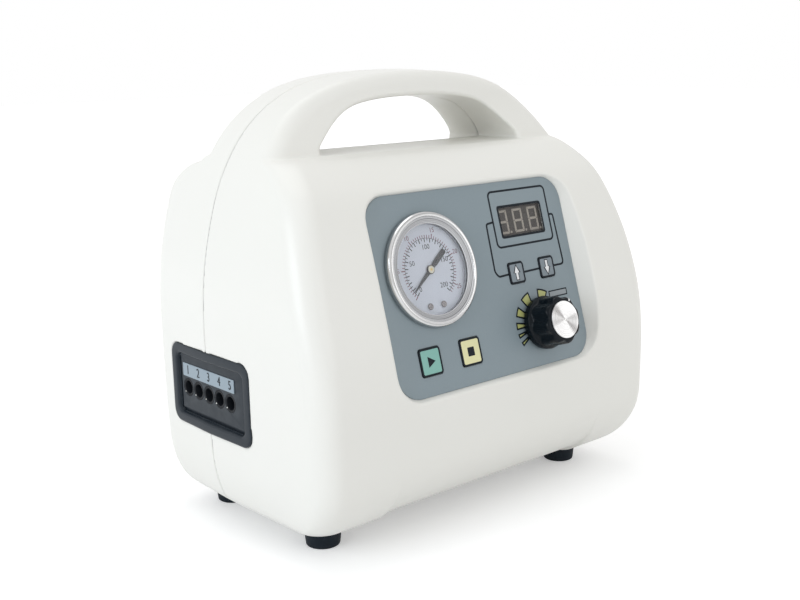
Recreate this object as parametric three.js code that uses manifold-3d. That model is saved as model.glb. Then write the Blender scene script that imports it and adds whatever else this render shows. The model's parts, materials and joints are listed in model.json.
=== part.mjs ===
// A portable compression therapy pump: a two-part moulded housing with an integral handle, a tilted
// control panel with a pressure gauge, a timer display, four keys and a pressure knob, five hose outlets
// on its left side, and the air pump, rotary valve and boards inside.
// Millimetres, +Z up, the panel faces -Y. Before the last lines centre the model on its resting face,
// Y is zero on the seam plane between the two housing halves and X is zero on the middle plane.

import * as THREE from 'three';
import { mergeVertices } from 'three/addons/utils/BufferGeometryUtils.js';
import Module from 'manifold-3d';

const wasm = await Module();
wasm.setup();

// Housing
const bodyWidth = 269.2;
const frontReach = 101.2;
const rearReach = 60.8;
const groundGap = 12;
const saddleHeight = 211.3;
const gapHeight = 28.5;
const handleThickness = 16;
const gapTop = saddleHeight + gapHeight;
const bodyHeight = gapTop + handleThickness;
const wall = 3;
const floorWall = 5;
const frontCornerRadius = 14;
const rearCornerRadius = 15;
const frontDraftShare = 0.03;
const rearDraftShare = 0.036;
const seamGap = 0.3;
const fit = 0.3;
const overrun = 2;

// Handle and its finger gap
const handleFront = 39.5;
const handleRear = 28;
const handleRounding = 9;
const handleRootDrop = 11.3;
const handleRoot = saddleHeight - handleRootDrop;
const handleLean = 11.3;
const handleLeanLead = 3;
const gapHalfWidth = 78;
const gapFlare = 4.5;
const gapRounding = 9;
const gapRearFlareShare = 0.2;
const rearSaddleDrop = 4;

// Underside relief between the two front corners
const reliefHalfWidth = 81;
const reliefRise = 2.2;
const reliefTop = 48;
const reliefBack = 20;
const reliefShares = [0, 0.04, 0.12, 0.24, 0.4, 0.6, 0.8, 1];

// Control panel
const panelTilt = THREE.MathUtils.degToRad(16.12);
const panelInset = 18.6;
const panelCentreY = panelInset - frontReach;
const panelDrop = 73.5;
const panelCentreZ = saddleHeight - panelDrop;
const panelWidth = 153.4;
const panelHeight = 110.8;
const panelCorner = 15;
const recessFlareShare = 0.66;
const recessRise = 18;
const overlayThickness = 1;
const panelFloor = 3;

// Columns and rows on the panel, from its centre
const gaugeX = -38.5;
const gaugeRow = 12;
const displayX = 39.7;
const windowRow = 31.4;
const arrowKeySpan = 26;
const arrowKeyRow = 1.1;
const runKeySpan = 30.1;
const runKeyX = -36.3;
const runKeyRow = -36.7;
const knobX = 38.9;
const knobRow = -30.8;

// Keys
const arrowKeySize = 12.4;
const runKeySize = 15.2;
const keyCorner = 1.6;
const keyRise = 0.5;
const keyTravel = 0.5;
const keyFlangeMargin = 1.2;
const keyFlange = 1.2;

// Display and its board
const windowWidth = 36.7;
const windowHeight = 18.8;
const windowCorner = 1.6;
const windowDepth = 0.9;
const ledWidth = 37.6;
const ledHeight = 19.2;
const ledDepth = 8;
const boardThickness = 1.6;
const boardLeft = -70;
const boardRight = 71;
const boardBottom = -49;
const boardTop = 47;
const boardStripTop = -22;
const boardColumnLeft = 2;
const switchSize = 6.2;
const standoffRadius = 3;
const standoffPilot = 1.3;

// Pressure gauge
const gaugeRadius = 32;
const bezelHeight = 4.6;
const bezelBand = 4.4;
const dialRadius = 25.4;
const dialThickness = 0.8;
const dialLevel = -1;
const gaugeCaseRadius = 29;
const gaugeCaseDepth = 27;
const gaugeCaseWall = 1.2;
const lensThickness = 1.6;
const lensLevel = 2.4;
const pointerThickness = 0.5;
const pointerTip = 17.5;
const pointerTail = 15.3;
const pointerTipWidth = 0.9;
const pointerTailWidth = 3.2;
const pointerAngle = THREE.MathUtils.degToRad(-127);
const pointerCapRadius = 2.5;
const spindleRadius = 0.7;
const dialScrewSpan = 9.9;
const dialScrewRow = -19.8;
const dialScrewRadius = 1.8;
const dialScrewHead = 0.8;
const stemRadius = 5;
const stemLength = 14;

// Knob and potentiometer
const knobBaseRadius = 16.7;
const knobRimRadius = 14.5;
const knobCapRadius = 11.2;
const knobClearance = 1;
const knobSkirt = 4.6;
const knobHeight = 17.4;
const knobWall = 2.6;
const knobLobes = 8;
const lobeDepth = 0.9;
const knobCapThickness = 1.3;
const shaftRadius = 3;
const shaftDepth = 6;
const bushRadius = 4.6;
const bushHeight = 3;
const regulatorRadius = 12;
const regulatorDepth = 12;

// Outlets on the left side
const socketWidth = 79;
const socketHeight = 46.6;
const socketCorner = 7;
const socketZ = 82;
const socketBand = 5.6;
const socketProud = 0.4;
const socketThickness = 2;
const blockFaceDepth = 2.9;
const plateThickness = 2;
const portCount = 5;
const portPitch = 10.85;
const portRow = -1.9;
const portOffset = 2.8;
const portRadius = 3.8;
const portDepth = 14;
const portWall = 1.4;
const manifoldHeight = 22;
const manifoldDepth = 8;
const manifoldMargin = 8;
const labelLength = 52.8;
const labelHeight = 7.6;
const labelThickness = 0.4;
const labelRow = 8.4;
const labelOffset = 3.8;
const labelGap = 0.1;
const nippleRadius = 2;
const nippleBore = 1.1;
const nippleLength = 9;

// Hoses
const hoseRadius = 3.4;
const hoseBore = 2.3;
const hoseSides = 4;
const hoseStepShare = 2.4;

// Feet
const footInset = 36.3;
const footSpan = bodyWidth - footInset * 2;
const footFrontY = -54.1;
const footRearY = 35.9;
const footTopRadius = 10.7;
const footBottomRadius = 9.5;
const footStemRadius = 3.4;
const footStemHead = 4.2;

// Housing screws
const screwRadius = 2;
const screwHeadRadius = 3.8;
const screwHeadHeight = 2.6;
const screwReach = 16;
const screwSeatY = 20;
const bossRadius = 6;
const lowerBossInset = 22.6;
const lowerBossX = bodyWidth / 2 - lowerBossInset;
const lowerBossZ = 44;
const upperBossInset = 31.6;
const upperBossX = bodyWidth / 2 - upperBossInset;
const upperBossDrop = 21.3;
const upperBossZ = saddleHeight - upperBossDrop;

// Back of the housing
const ventCount = 7;
const ventLength = 46;
const ventHeight = 3;
const ventPitch = 8;
const ventX = 62;
const ventZ = 96;
const inletInset = 56.6;
const inletX = bodyWidth / 2 - inletInset;
const inletZ = 42;
const inletWidth = 27;
const inletHeight = 20;
const inletFlange = 3;
const inletDepth = 22;
const inletWall = 1.8;
const inletCavityDepth = 16;
const inletPinWidth = 2;
const inletPinHeight = 4;
const inletPinLength = 10;
const inletPinPitch = 7;
const rockerOffset = 42;
const rockerX = inletX - rockerOffset;
const rockerWidth = 13;
const rockerHeight = 19;
const rockerCrown = 2.4;
const rockerDepth = 6;
const rockerSwing = THREE.MathUtils.degToRad(7);
const rockerPinRadius = 1.2;

// Air pump
const pumpInset = 82.6;
const pumpX = bodyWidth / 2 - pumpInset;
const pumpY = -8;
const pumpWidth = 90;
const pumpDepth = 66;
const pumpHeight = 40;
const pumpWall = 3;
const pumpLidThickness = 3;
const pumpHeadDepth = 9;
const pumpHeadWidth = 26;
const pumpBore = 7;
const mountHeight = 8;
const mountWidth = 12;
const mountInset = 6;
const coreWidth = 28;
const coreLeg = 9;
const coreBase = 8;
const coreGap = 16;
const coreHeight = 31;
const coilMargin = 5;
const coilHeight = 12;
const armThickness = 7;
const armTravel = 1;

// Rotary valve
const valveX = -62;
const valveY = 6;
const valveRadius = 24;
const valveHeight = 18;
const valveWall = 4;
const valveRoof = 6;
const rotorThickness = 5;
const rotorRadius = 19;
const rotorShaftRadius = 2.5;
const rotorShaftDepth = 8;
const valveMotorRadius = 25;
const valveMotorHeight = 20;
const nippleCircle = 17;
const outletSpread = THREE.MathUtils.degToRad(36);
const serviceSpread = THREE.MathUtils.degToRad(30);

// Power module
const moduleX = -48;
const moduleY = -36;
const moduleWidth = 76;
const moduleDepth = 28;
const moduleLeg = 5;
const transformerWidth = 34;
const transformerHeight = 26;
const capacitorRadius = 7;
const capacitorHeight = 22;

// Round counts
const roundSteps = 28;
const smallSteps = 14;
const tinySteps = 8;
const cornerSteps = 4;
const outlineSteps = 2;
const weldDistance = 1e-4;

const halfWidth = bodyWidth / 2;
const shellHeight = bodyHeight - groundGap;
const trunkHeight = saddleHeight - groundGap;

// Half width of the housing at the seam, against its height from the underside to the handle's top
const sideShares = [
  [0, 0.832], [0.005, 0.8767], [0.0144, 0.9101], [0.0328, 0.9391], [0.0533, 0.9554],
  [0.0738, 0.9673], [0.0943, 0.977], [0.1231, 0.9859], [0.1641, 0.9918], [0.2379, 0.9955],
  [0.3404, 0.9985], [0.443, 1], [0.525, 0.9941], [0.607, 0.9733], [0.689, 0.9376],
  [0.7506, 0.9004], [0.7998, 0.8566], [0.8409, 0.8091], [0.8778, 0.7533], [0.9106, 0.6872],
  [0.9393, 0.6077], [0.9639, 0.5089], [0.9823, 0.3863], [0.9938, 0.2377], [0.9988, 0.104], [1, 0],
];
// Reach of the front face and of the back from the seam, against height up to the saddle
const frontShares = [
  [0, 0.6047], [0.007, 0.7075], [0.0271, 0.8024], [0.0587, 0.8844], [0.1004, 0.9466],
  [0.1485, 0.9862], [0.2007, 1], [0.3412, 1], [0.4165, 0.994], [0.4917, 0.977],
  [0.5419, 0.9575], [0.5921, 0.931], [0.6422, 0.901], [0.6924, 0.8696], [0.7426, 0.834],
  [0.7928, 0.7945], [0.843, 0.751], [0.8831, 0.7095], [0.9132, 0.666], [0.9383, 0.6146],
  [0.9583, 0.563], [0.9759, 0.509], [0.991, 0.4526], [1, 0.395],
];
const rearShares = [
  [0, 0.671], [0.0075, 0.797], [0.0296, 0.903], [0.0617, 0.975], [0.1004, 1],
  [0.8731, 1], [0.9032, 0.99], [0.9273, 0.951], [0.9513, 0.868], [0.9759, 0.732],
  [0.991, 0.625], [1, 0.526],
];
const stationShares = [
  0, 0.007, 0.0271, 0.0587, 0.1004, 0.1485, 0.2007, 0.3412, 0.443, 0.5419, 0.6172,
  0.6924, 0.7426, 0.7928, 0.843, 0.8831, 0.9132, 0.9383, 0.9583, 0.9759, 0.991, 1,
];
const hollowShares = [0, 0.0271, 0.1004, 0.2007, 0.443, 0.6172, 0.7426, 0.843, 0.9132, 0.9583, 1];
// The finger gap's arch: height above the saddle against half width
const gapShares = [
  [0, 1], [0.16, 0.975], [0.37, 0.915], [0.58, 0.835], [0.76, 0.735], [0.87, 0.62],
  [0.94, 0.46], [0.985, 0.24], [1, 0],
];

// Value of a table of shares at a place, on a smooth line through its points
function alongTable(table, place) {
  let low = 0;
  while (low < table.length - 2 && place > table[low + 1][0]) low += 1;
  const slopeAt = (index) => {
    const before = table[Math.max(index - 1, 0)];
    const after = table[Math.min(index + 1, table.length - 1)];
    return (after[1] - before[1]) / (after[0] - before[0]);
  };
  const [startPlace, startValue] = table[low];
  const [endPlace, endValue] = table[low + 1];
  const span = endPlace - startPlace;
  const t = THREE.MathUtils.clamp((place - startPlace) / span, 0, 1);
  const straight = (endValue - startValue) / span;
  const limited = (slope) => (slope * straight <= 0 ? 0 : Math.sign(straight)
    * Math.min(Math.abs(slope), 3 * Math.abs(straight)));
  const startSlope = limited(slopeAt(low));
  const endSlope = limited(slopeAt(low + 1));
  const t2 = t * t;
  const t3 = t2 * t;
  return (2 * t3 - 3 * t2 + 1) * startValue + (t3 - 2 * t2 + t) * span * startSlope
    + (3 * t2 - 2 * t3) * endValue + (t3 - t2) * span * endSlope;
}

// Half width of the housing at a height, on the seam plane
const halfWidthAt = (z) => halfWidth * alongTable(sideShares, (z - groundGap) / shellHeight);
const frontAt = (z) => frontReach * alongTable(frontShares, (z - groundGap) / trunkHeight);
const rearAt = (z) => rearReach * alongTable(rearShares, (z - groundGap) / trunkHeight);

// Solids for cutting and joining
function toSolid(geometry) {
  const bare = geometry.clone();
  bare.deleteAttribute('normal');
  bare.deleteAttribute('uv');
  const merged = mergeVertices(bare, weldDistance);
  return new wasm.Manifold(new wasm.Mesh({
    numProp: 3,
    vertProperties: new Float32Array(merged.attributes.position.array),
    triVerts: new Uint32Array(merged.index.array),
  }));
}

function toGeometry(solid) {
  const mesh = solid.getMesh();
  const geometry = new THREE.BufferGeometry();
  geometry.setAttribute('position', new THREE.BufferAttribute(new Float32Array(mesh.vertProperties), 3));
  geometry.setIndex(new THREE.BufferAttribute(new Uint32Array(mesh.triVerts), 1));
  geometry.computeVertexNormals();
  return geometry;
}

const joined = (...solids) => solids.reduce((sum, solid) => sum.add(solid));
const cut = (base, ...tools) => tools.reduce((rest, tool) => rest.subtract(tool), base);

// A closed skin over rings of equal count, each end closed by a fan to the ring's middle
function loft(rings, ends = []) {
  const count = rings[0].length;
  const points = rings.flat();
  const middle = (ring) => ring.reduce((sum, p) => sum.add(p), new THREE.Vector3()).divideScalar(count);
  const firstMiddle = points.push(ends[0] ?? middle(rings[0])) - 1;
  const lastMiddle = points.push(ends[1] ?? middle(rings[rings.length - 1])) - 1;
  const faces = [];
  for (let ring = 0; ring < rings.length - 1; ring += 1) {
    for (let i = 0; i < count; i += 1) {
      const a = ring * count + i;
      const b = ring * count + ((i + 1) % count);
      faces.push(a, b, b + count, a, b + count, a + count);
    }
  }
  const top = (rings.length - 1) * count;
  for (let i = 0; i < count; i += 1) {
    const next = (i + 1) % count;
    faces.push(firstMiddle, next, i, lastMiddle, top + i, top + next);
  }
  const geometry = new THREE.BufferGeometry().setFromPoints(points);
  geometry.setIndex(signedVolume(points, faces) < 0 ? faces.reverse() : faces);
  return geometry;
}

function signedVolume(points, faces) {
  let volume = 0;
  for (let i = 0; i < faces.length; i += 3) {
    const [a, b, c] = [points[faces[i]], points[faces[i + 1]], points[faces[i + 2]]];
    volume += a.dot(new THREE.Vector3().crossVectors(b, c));
  }
  return volume;
}

// Flat outlines
function roundedShape(width, height, radius, x = 0, y = 0) {
  const shape = new THREE.Shape();
  const [left, right] = [x - width / 2, x + width / 2];
  const [low, high] = [y - height / 2, y + height / 2];
  shape.moveTo(left + radius, low);
  shape.lineTo(right - radius, low);
  shape.absarc(right - radius, low + radius, radius, -Math.PI / 2, 0);
  shape.lineTo(right, high - radius);
  shape.absarc(right - radius, high - radius, radius, 0, Math.PI / 2);
  shape.lineTo(left + radius, high);
  shape.absarc(left + radius, high - radius, radius, Math.PI / 2, Math.PI);
  shape.lineTo(left, low + radius);
  shape.absarc(left + radius, low + radius, radius, Math.PI, Math.PI * 1.5);
  return shape;
}

const polygon = (points) => new THREE.Shape(points.map(([x, y]) => new THREE.Vector2(x, y)));

// A prism along Z from one level to another
function prism(shape, from, to, curveSegments = outlineSteps) {
  const geometry = new THREE.ExtrudeGeometry(shape, {
    depth: to - from, bevelEnabled: false, curveSegments,
  });
  return geometry.translate(0, 0, from);
}

// A box between two corners
function block(low, high) {
  const size = low.map((value, axis) => high[axis] - value);
  const middle = low.map((value, axis) => (high[axis] + value) / 2);
  return new THREE.BoxGeometry(...size).translate(...middle);
}

// A cylinder along Z standing on a place
function rod(radius, from, to, x = 0, y = 0, steps = smallSteps, endRadius = radius) {
  const geometry = new THREE.CylinderGeometry(endRadius, radius, to - from, steps);
  return geometry.rotateX(Math.PI / 2).translate(x, y, (from + to) / 2);
}

// A turned piece about Z from a profile of radius and level that starts and ends on the axis
function turned(profile, steps = roundSteps) {
  const points = profile.map(([radius, level]) => new THREE.Vector2(radius, level));
  return new THREE.LatheGeometry(points, steps).rotateX(Math.PI / 2);
}

// A turned ring about Z from a closed profile that stays off the axis
function turnedRing(profile, steps = roundSteps) {
  return turned([...profile, profile[0]], steps);
}

// Pieces drawn along Z, laid along Y or X instead
const alongY = (geometry) => geometry.rotateX(-Math.PI / 2);
const alongX = (geometry) => geometry.rotateY(Math.PI / 2);

const model = new THREE.Group();
const panelGroup = new THREE.Group();
panelGroup.position.set(0, panelCentreY, panelCentreZ);
panelGroup.rotation.x = Math.PI / 2 - panelTilt;
panelGroup.updateMatrix();
model.add(panelGroup);

const onPanel = (geometry) => geometry.clone().applyMatrix4(panelGroup.matrix);

function addPiece(parent, name, shape, colour, roughness, metalness = 0) {
  const geometry = shape.isBufferGeometry ? shape : toGeometry(shape);
  const material = new THREE.MeshStandardMaterial({ color: colour, roughness, metalness });
  const mesh = new THREE.Mesh(geometry, material);
  mesh.name = name;
  parent.add(mesh);
  return mesh;
}

// Housing forms

// One level ring of the trunk: rounded corners, sides that draw in towards front and back
function trunkRing(z, steps = cornerSteps) {
  const side = halfWidthAt(z);
  const front = frontAt(z);
  const rear = rearAt(z);
  const corner = (reach, radius, draft, direction) => {
    const points = [];
    const centreX = side - draft * (reach - radius) - radius;
    for (let i = 0; i <= steps; i += 1) {
      const angle = (i / steps) * (Math.PI / 2);
      points.push(new THREE.Vector3(
        centreX + radius * Math.cos(angle),
        direction * (reach - radius + radius * Math.sin(angle)),
        z,
      ));
    }
    return points;
  };
  const right = [
    ...corner(front, frontCornerRadius, frontDraftShare, -1).reverse(),
    new THREE.Vector3(side, 0, z),
    ...corner(rear, rearCornerRadius, rearDraftShare, 1),
  ];
  const left = right.map((p) => new THREE.Vector3(-p.x, p.y, p.z)).reverse();
  return [...right, ...left];
}

function trunkSolid() {
  return toSolid(loft(stationShares.map((share) => trunkRing(groundGap + share * trunkHeight))));
}

// The trunk drawn in by the wall on every side, for its hollow
function trunkHollow() {
  const depth = frontReach + rearReach;
  const middleY = (rearReach - frontReach) / 2;
  const top = saddleHeight - wall - rearSaddleDrop;
  const bottom = groundGap + floorWall;
  const scaleX = (halfWidth - wall) / halfWidth;
  const scaleY = (depth / 2 - wall) / (depth / 2);
  const scaleZ = (top - bottom) / trunkHeight;
  const rings = hollowShares.map((share) => trunkRing(groundGap + share * trunkHeight, 2).map((p) => (
    new THREE.Vector3(
      p.x * scaleX,
      middleY + (p.y - middleY) * scaleY,
      bottom + (p.z - groundGap) * scaleZ,
    )
  )));
  return toSolid(loft(rings));
}

// The front of the handle leans back from its root to the top of the finger gap
function leanBack(rings) {
  const start = handleRoot - handleLeanLead;
  rings.flat().forEach((point) => {
    const share = Math.min(Math.max((point.z - start) / (gapTop - start), 0), 1);
    const forward = Math.min(Math.max(-point.y / handleFront, 0), 1);
    point.y += handleLean * share * share * (3 - 2 * share) * forward;
  });
  return rings;
}

// The handle's outline from its root on the right, over the top, to its root on the left
function handleOutline(inset, y, steps) {
  const half = [];
  const draft = y < 0 ? frontDraftShare : rearDraftShare;
  const shift = inset + draft * Math.abs(y);
  const at = (t) => {
    const z = handleRoot + (bodyHeight - handleRoot) * Math.sin((t * Math.PI) / 2);
    return new THREE.Vector2(halfWidthAt(z), z);
  };
  const reach = 0.01;
  for (let i = 0; i < steps; i += 1) {
    const t = i / steps;
    const point = at(t);
    const tangent = at(Math.min(t + reach, 1)).sub(at(Math.max(t - reach, 0))).normalize();
    half.push([point.x - shift * tangent.y, point.y + shift * tangent.x]);
  }
  const top = [[0, bodyHeight - shift]];
  const left = half.map(([x, z]) => [-x, z]).reverse();
  return [...half, ...top, ...left].map(([x, z]) => new THREE.Vector3(x, y, z));
}

function handleSolid(inset = 0) {
  const radius = handleRounding - inset;
  const rounding = [];
  const rounds = inset ? 1 : 4;
  const steps = inset ? 7 : 12;
  for (let i = rounds; i >= 0; i -= 1) {
    const angle = (i / rounds) * (Math.PI / 2);
    rounding.push([radius * (1 - Math.cos(angle)), radius * Math.sin(angle)]);
  }
  const rearFlat = handleRear - handleRounding;
  const frontFlat = handleFront - handleRounding;
  const rings = [
    ...rounding.map(([draw, reach]) => handleOutline(inset + draw, rearFlat + reach, steps)),
    handleOutline(inset, 0, steps),
    ...[...rounding].reverse().map(([draw, reach]) => (
      handleOutline(inset + draw, -frontFlat - reach, steps))),
  ];
  return toSolid(loft(leanBack(rings)));
}

// The finger gap, flared round its edges, or grown by a wall to keep the hollow off it
function fingerGap(grow = 0, floor = saddleHeight) {
  const outline = (spread, y) => {
    const archHeight = gapTop - saddleHeight + spread + grow;
    const arch = gapShares.map(([rise, width]) => [
      width * (gapHalfWidth + spread + grow),
      rise === 0 ? floor : saddleHeight + rise * archHeight,
    ]);
    const right = floor < saddleHeight ? [arch[0], [arch[0][0], saddleHeight], ...arch.slice(1)] : arch;
    const left = right.slice(0, -1).map(([x, z]) => [-x, z]).reverse();
    return [...right, ...left].map(([x, z]) => new THREE.Vector3(x, y, z));
  };
  const roundingShares = [[1, 0], [0.38, 0.25], [0.1, 0.6], [0, 1]];
  const past = handleFront + overrun * 6;
  const rings = [
    outline(gapFlare, -past),
    ...roundingShares.map(([spread, inward]) => outline(gapFlare * spread, -handleFront + gapRounding * inward)),
    ...[...roundingShares].reverse().map(([spread, inward]) => (
      outline(gapFlare * spread * gapRearFlareShare, handleRear - gapRounding * inward))),
    outline(gapFlare, past),
  ];
  return toSolid(loft(leanBack(rings)));
}

// The saddle falls away behind the seam
function rearSaddleWedge() {
  const back = handleRear + rearSaddleDrop * 4;
  const shape = polygon([
    [0, saddleHeight], [back, saddleHeight - rearSaddleDrop * (back / handleRear)],
    [back, saddleHeight + overrun], [0, saddleHeight + overrun],
  ]);
  const geometry = prism(shape, -gapHalfWidth, gapHalfWidth);
  return toSolid(geometry.applyMatrix4(new THREE.Matrix4().makeBasis(
    new THREE.Vector3(0, 1, 0), new THREE.Vector3(0, 0, 1), new THREE.Vector3(1, 0, 0),
  )));
}

// The front edge rolls further under between the corners than at them
function undersideRelief() {
  const shape = new THREE.Shape();
  const low = groundGap + reliefRise;
  const outside = frontReach + overrun * 3;
  shape.moveTo(-reliefBack, groundGap - overrun * 2);
  shape.lineTo(-reliefBack, low);
  // The front's own profile lifted by the rise, which fades out towards the relief's top
  reliefShares.forEach((share) => {
    const z = low + (reliefTop - low) * share;
    shape.lineTo(-frontAt(z - reliefRise * (1 - share * share)), z);
  });
  shape.lineTo(-outside, reliefTop);
  shape.lineTo(-outside, groundGap - overrun * 2);
  const geometry = prism(shape, -reliefHalfWidth, reliefHalfWidth);
  return toSolid(geometry.applyMatrix4(new THREE.Matrix4().makeBasis(
    new THREE.Vector3(0, 1, 0), new THREE.Vector3(0, 0, 1), new THREE.Vector3(1, 0, 0),
  )));
}

// A rounded rectangle ring at a level above the panel plane, grown by a margin
function panelRing(margin, level) {
  const shape = roundedShape(
    panelWidth + margin * 2,
    panelHeight + margin * 2,
    panelCorner + margin,
  );
  return shape.getPoints(cornerSteps).slice(0, -1).map((p) => new THREE.Vector3(p.x, p.y, level));
}

const overlayBase = -overlayThickness - fit;
const floorBack = overlayBase - panelFloor;

function recessTool() {
  const rings = [
    panelRing(0, overlayBase),
    panelRing(0, 0),
    panelRing(recessRise * recessFlareShare, recessRise),
  ];
  return toSolid(onPanel(loft(rings)));
}

function recessPan() {
  const rings = [
    panelRing(wall, floorBack),
    panelRing(wall, 0),
    panelRing(wall + recessRise * recessFlareShare, recessRise),
  ];
  return toSolid(onPanel(loft(rings)));
}

const keys = [
  { name: 'up_button', x: displayX - arrowKeySpan / 2, row: arrowKeyRow, size: arrowKeySize },
  { name: 'down_button', x: displayX + arrowKeySpan / 2, row: arrowKeyRow, size: arrowKeySize },
  { name: 'start_button', x: runKeyX - runKeySpan / 2, row: runKeyRow, size: runKeySize },
  { name: 'stop_button', x: runKeyX + runKeySpan / 2, row: runKeyRow, size: runKeySize },
];

// Everything that passes through the panel: gauge case, display, keys and knob bush
function panelHoles(from, to, windowGrow, corner = windowCorner) {
  const holes = [
    rod(gaugeCaseRadius + fit, from, to, gaugeX, gaugeRow, roundSteps),
    prism(roundedShape(windowWidth + windowGrow, windowHeight + windowGrow, corner,
      displayX, windowRow), from, to),
    rod(bushRadius + fit, from, to, knobX, knobRow, smallSteps),
    ...keys.map((key) => prism(
      roundedShape(key.size + fit * 2, key.size + fit * 2, keyCorner, key.x, key.row), from, to)),
  ];
  return holes.map(toSolid);
}

const boardSpots = [
  [boardLeft + standoffRadius * 1.5, boardBottom + standoffRadius * 1.5],
  [boardRight - standoffRadius * 1.5, boardBottom + standoffRadius * 1.5],
  [boardRight - standoffRadius * 1.5, boardTop - standoffRadius * 1.5],
  [boardColumnLeft + standoffRadius * 1.5, boardTop - standoffRadius * 1.5],
];
const boardFront = overlayBase - fit - ledDepth - fit;
const boardBack = boardFront - boardThickness;

function panelStandoffs() {
  return boardSpots.map(([x, y]) => toSolid(onPanel(
    rod(standoffRadius, boardFront + fit, floorBack + overrun / 4, x, y, tinySteps),
  )));
}

function standoffPilots() {
  return boardSpots.map(([x, y]) => toSolid(onPanel(
    rod(standoffPilot, boardFront - overrun, floorBack - overrun / 4, x, y, tinySteps),
  )));
}

const bossSpots = [
  [-lowerBossX, lowerBossZ], [lowerBossX, lowerBossZ], [-upperBossX, upperBossZ], [upperBossX, upperBossZ],
];

// A cylinder along Y between two places
function rodY(radius, from, to, x, z, steps = smallSteps) {
  return alongY(rod(radius, from, to, 0, 0, steps)).translate(x, 0, z);
}

const footSpots = [
  ['foot_front_left', -footSpan / 2, footFrontY],
  ['foot_front_right', footSpan / 2, footFrontY],
  ['foot_rear_left', -footSpan / 2, footRearY],
  ['foot_rear_right', footSpan / 2, footRearY],
];

// Left side outlet opening: pocket for the bezel and a way through for the block
const sideX = -halfWidthAt(socketZ);

// A slab on the left side, bent along the seam as the side is
function sideSlab(width, height, radius, outer, inner) {
  const outline = roundedShape(width, height, radius).getPoints(outlineSteps).slice(0, -1);
  const bottomSeam = outline.findIndex((p, i) => p.x < 0 && outline[i + 1].x > 0);
  outline.splice(bottomSeam + 1, 0, new THREE.Vector2(0, -height / 2));
  const topSeam = outline.findIndex((p, i) => i > bottomSeam + 1 && p.x > 0 && outline[i + 1].x < 0);
  outline.splice(topSeam + 1, 0, new THREE.Vector2(0, height / 2));
  const ring = (x) => outline.map((p) => new THREE.Vector3(
    x + (p.x < 0 ? frontDraftShare : rearDraftShare) * Math.abs(p.x),
    p.x,
    socketZ + p.y,
  ));
  const ends = [outer, inner].map((x) => new THREE.Vector3(x, 0, socketZ));
  return toSolid(loft([ring(outer), ring(inner)], ends));
}

const socketInnerWidth = socketWidth - socketBand * 2;
const socketInnerHeight = socketHeight - socketBand * 2;
const blockFaceX = sideX - socketProud + blockFaceDepth;

function sideOpening() {
  const pocket = sideSlab(
    socketWidth + fit * 2, socketHeight + fit * 2, socketCorner + fit,
    sideX - overrun, sideX + socketThickness - socketProud + fit,
  );
  const through = sideSlab(
    socketInnerWidth, socketInnerHeight, socketCorner - socketBand / 2, sideX - overrun, sideX + wall * 3,
  );
  return joined(pocket, through);
}

const footPads = () => footSpots.map(([, x, y]) => toSolid(
  rod(footTopRadius + fit, groundGap, groundGap + floorWall, x, y, smallSteps),
));
const footHoles = () => footSpots.flatMap(([, x, y]) => [
  toSolid(rod(footStemRadius + fit, 0, groundGap + floorWall * 2, x, y, tinySteps)),
  toSolid(rod(footStemHead + fit * 2, groundGap + floorWall, groundGap + floorWall * 2, x, y, tinySteps)),
]);

function housingHalf(side) {
  const outer = joined(trunkSolid(), handleSolid());
  const handleHollow = handleSolid(wall).subtract(fingerGap(wall, saddleHeight - wall * 3));
  const low = side < 0 ? -frontReach * 2 : seamGap / 2;
  const high = side < 0 ? -seamGap / 2 : rearReach * 2;
  const keep = toSolid(block([-bodyWidth, low, -overrun], [bodyWidth, high, bodyHeight + overrun]));
  const bossEnds = side < 0 ? [-frontReach, -seamGap / 2] : [seamGap / 2, rearReach];
  const bosses = bossSpots.map(([x, z]) => toSolid(rodY(bossRadius, ...bossEnds, x, z)).intersect(outer));
  const body = joined(cut(outer, trunkHollow(), handleHollow), ...footPads()).intersect(keep);
  return { outer, keep, body: joined(body, ...bosses) };
}

const bossHole = (radius, from, to) => bossSpots.map(([x, z]) => (
  toSolid(rodY(radius, from, to, x, z, tinySteps))));

function frontShell() {
  const { outer, keep, body } = housingHalf(-1);
  const pan = recessPan().intersect(outer).intersect(keep);
  const holes = panelHoles(floorBack - overrun, overrun, ledWidth - windowWidth + fit * 2,
    windowCorner / 8)
    .map((hole) => hole.transform(panelGroup.matrix.elements));
  return cut(joined(body, pan, ...panelStandoffs()), fingerGap(), recessTool(), undersideRelief(),
    sideOpening(), ...bossHole(screwRadius + fit, -screwReach, overrun), ...footHoles(),
    ...standoffPilots(), ...holes);
}

const ventRow = (i) => ventZ + (i - (ventCount - 1) / 2) * ventPitch;

function rearOpening(width, height, x, z) {
  return toSolid(block(
    [x - width / 2, rearReach - wall * 2, z - height / 2],
    [x + width / 2, rearReach + overrun, z + height / 2],
  ));
}

function rearShell() {
  const { body } = housingHalf(1);
  const vents = [-ventX, ventX].flatMap((x) => Array.from({ length: ventCount }, (_, i) => (
    rearOpening(ventLength, ventHeight, x, ventRow(i)))));
  const moduleLeft = rockerX - rockerWidth / 2 - inletWall;
  const moduleRight = inletX + inletWidth / 2;
  const inlet = rearOpening(moduleRight - moduleLeft + fit * 2, inletHeight + fit * 2,
    (moduleLeft + moduleRight) / 2, inletZ);
  return cut(body, fingerGap(), rearSaddleWedge(), sideOpening(),
    ...bossHole(screwRadius + fit, -overrun, rearReach), inlet,
    ...bossHole(screwHeadRadius + fit, screwSeatY, rearReach + overrun), ...vents, ...footHoles());
}

const shellColour = 0xecece8;
addPiece(model, 'front_shell', frontShell(), shellColour, 0.42);
addPiece(model, 'rear_shell', rearShell(), shellColour, 0.42);

// Feet and housing screws

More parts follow.
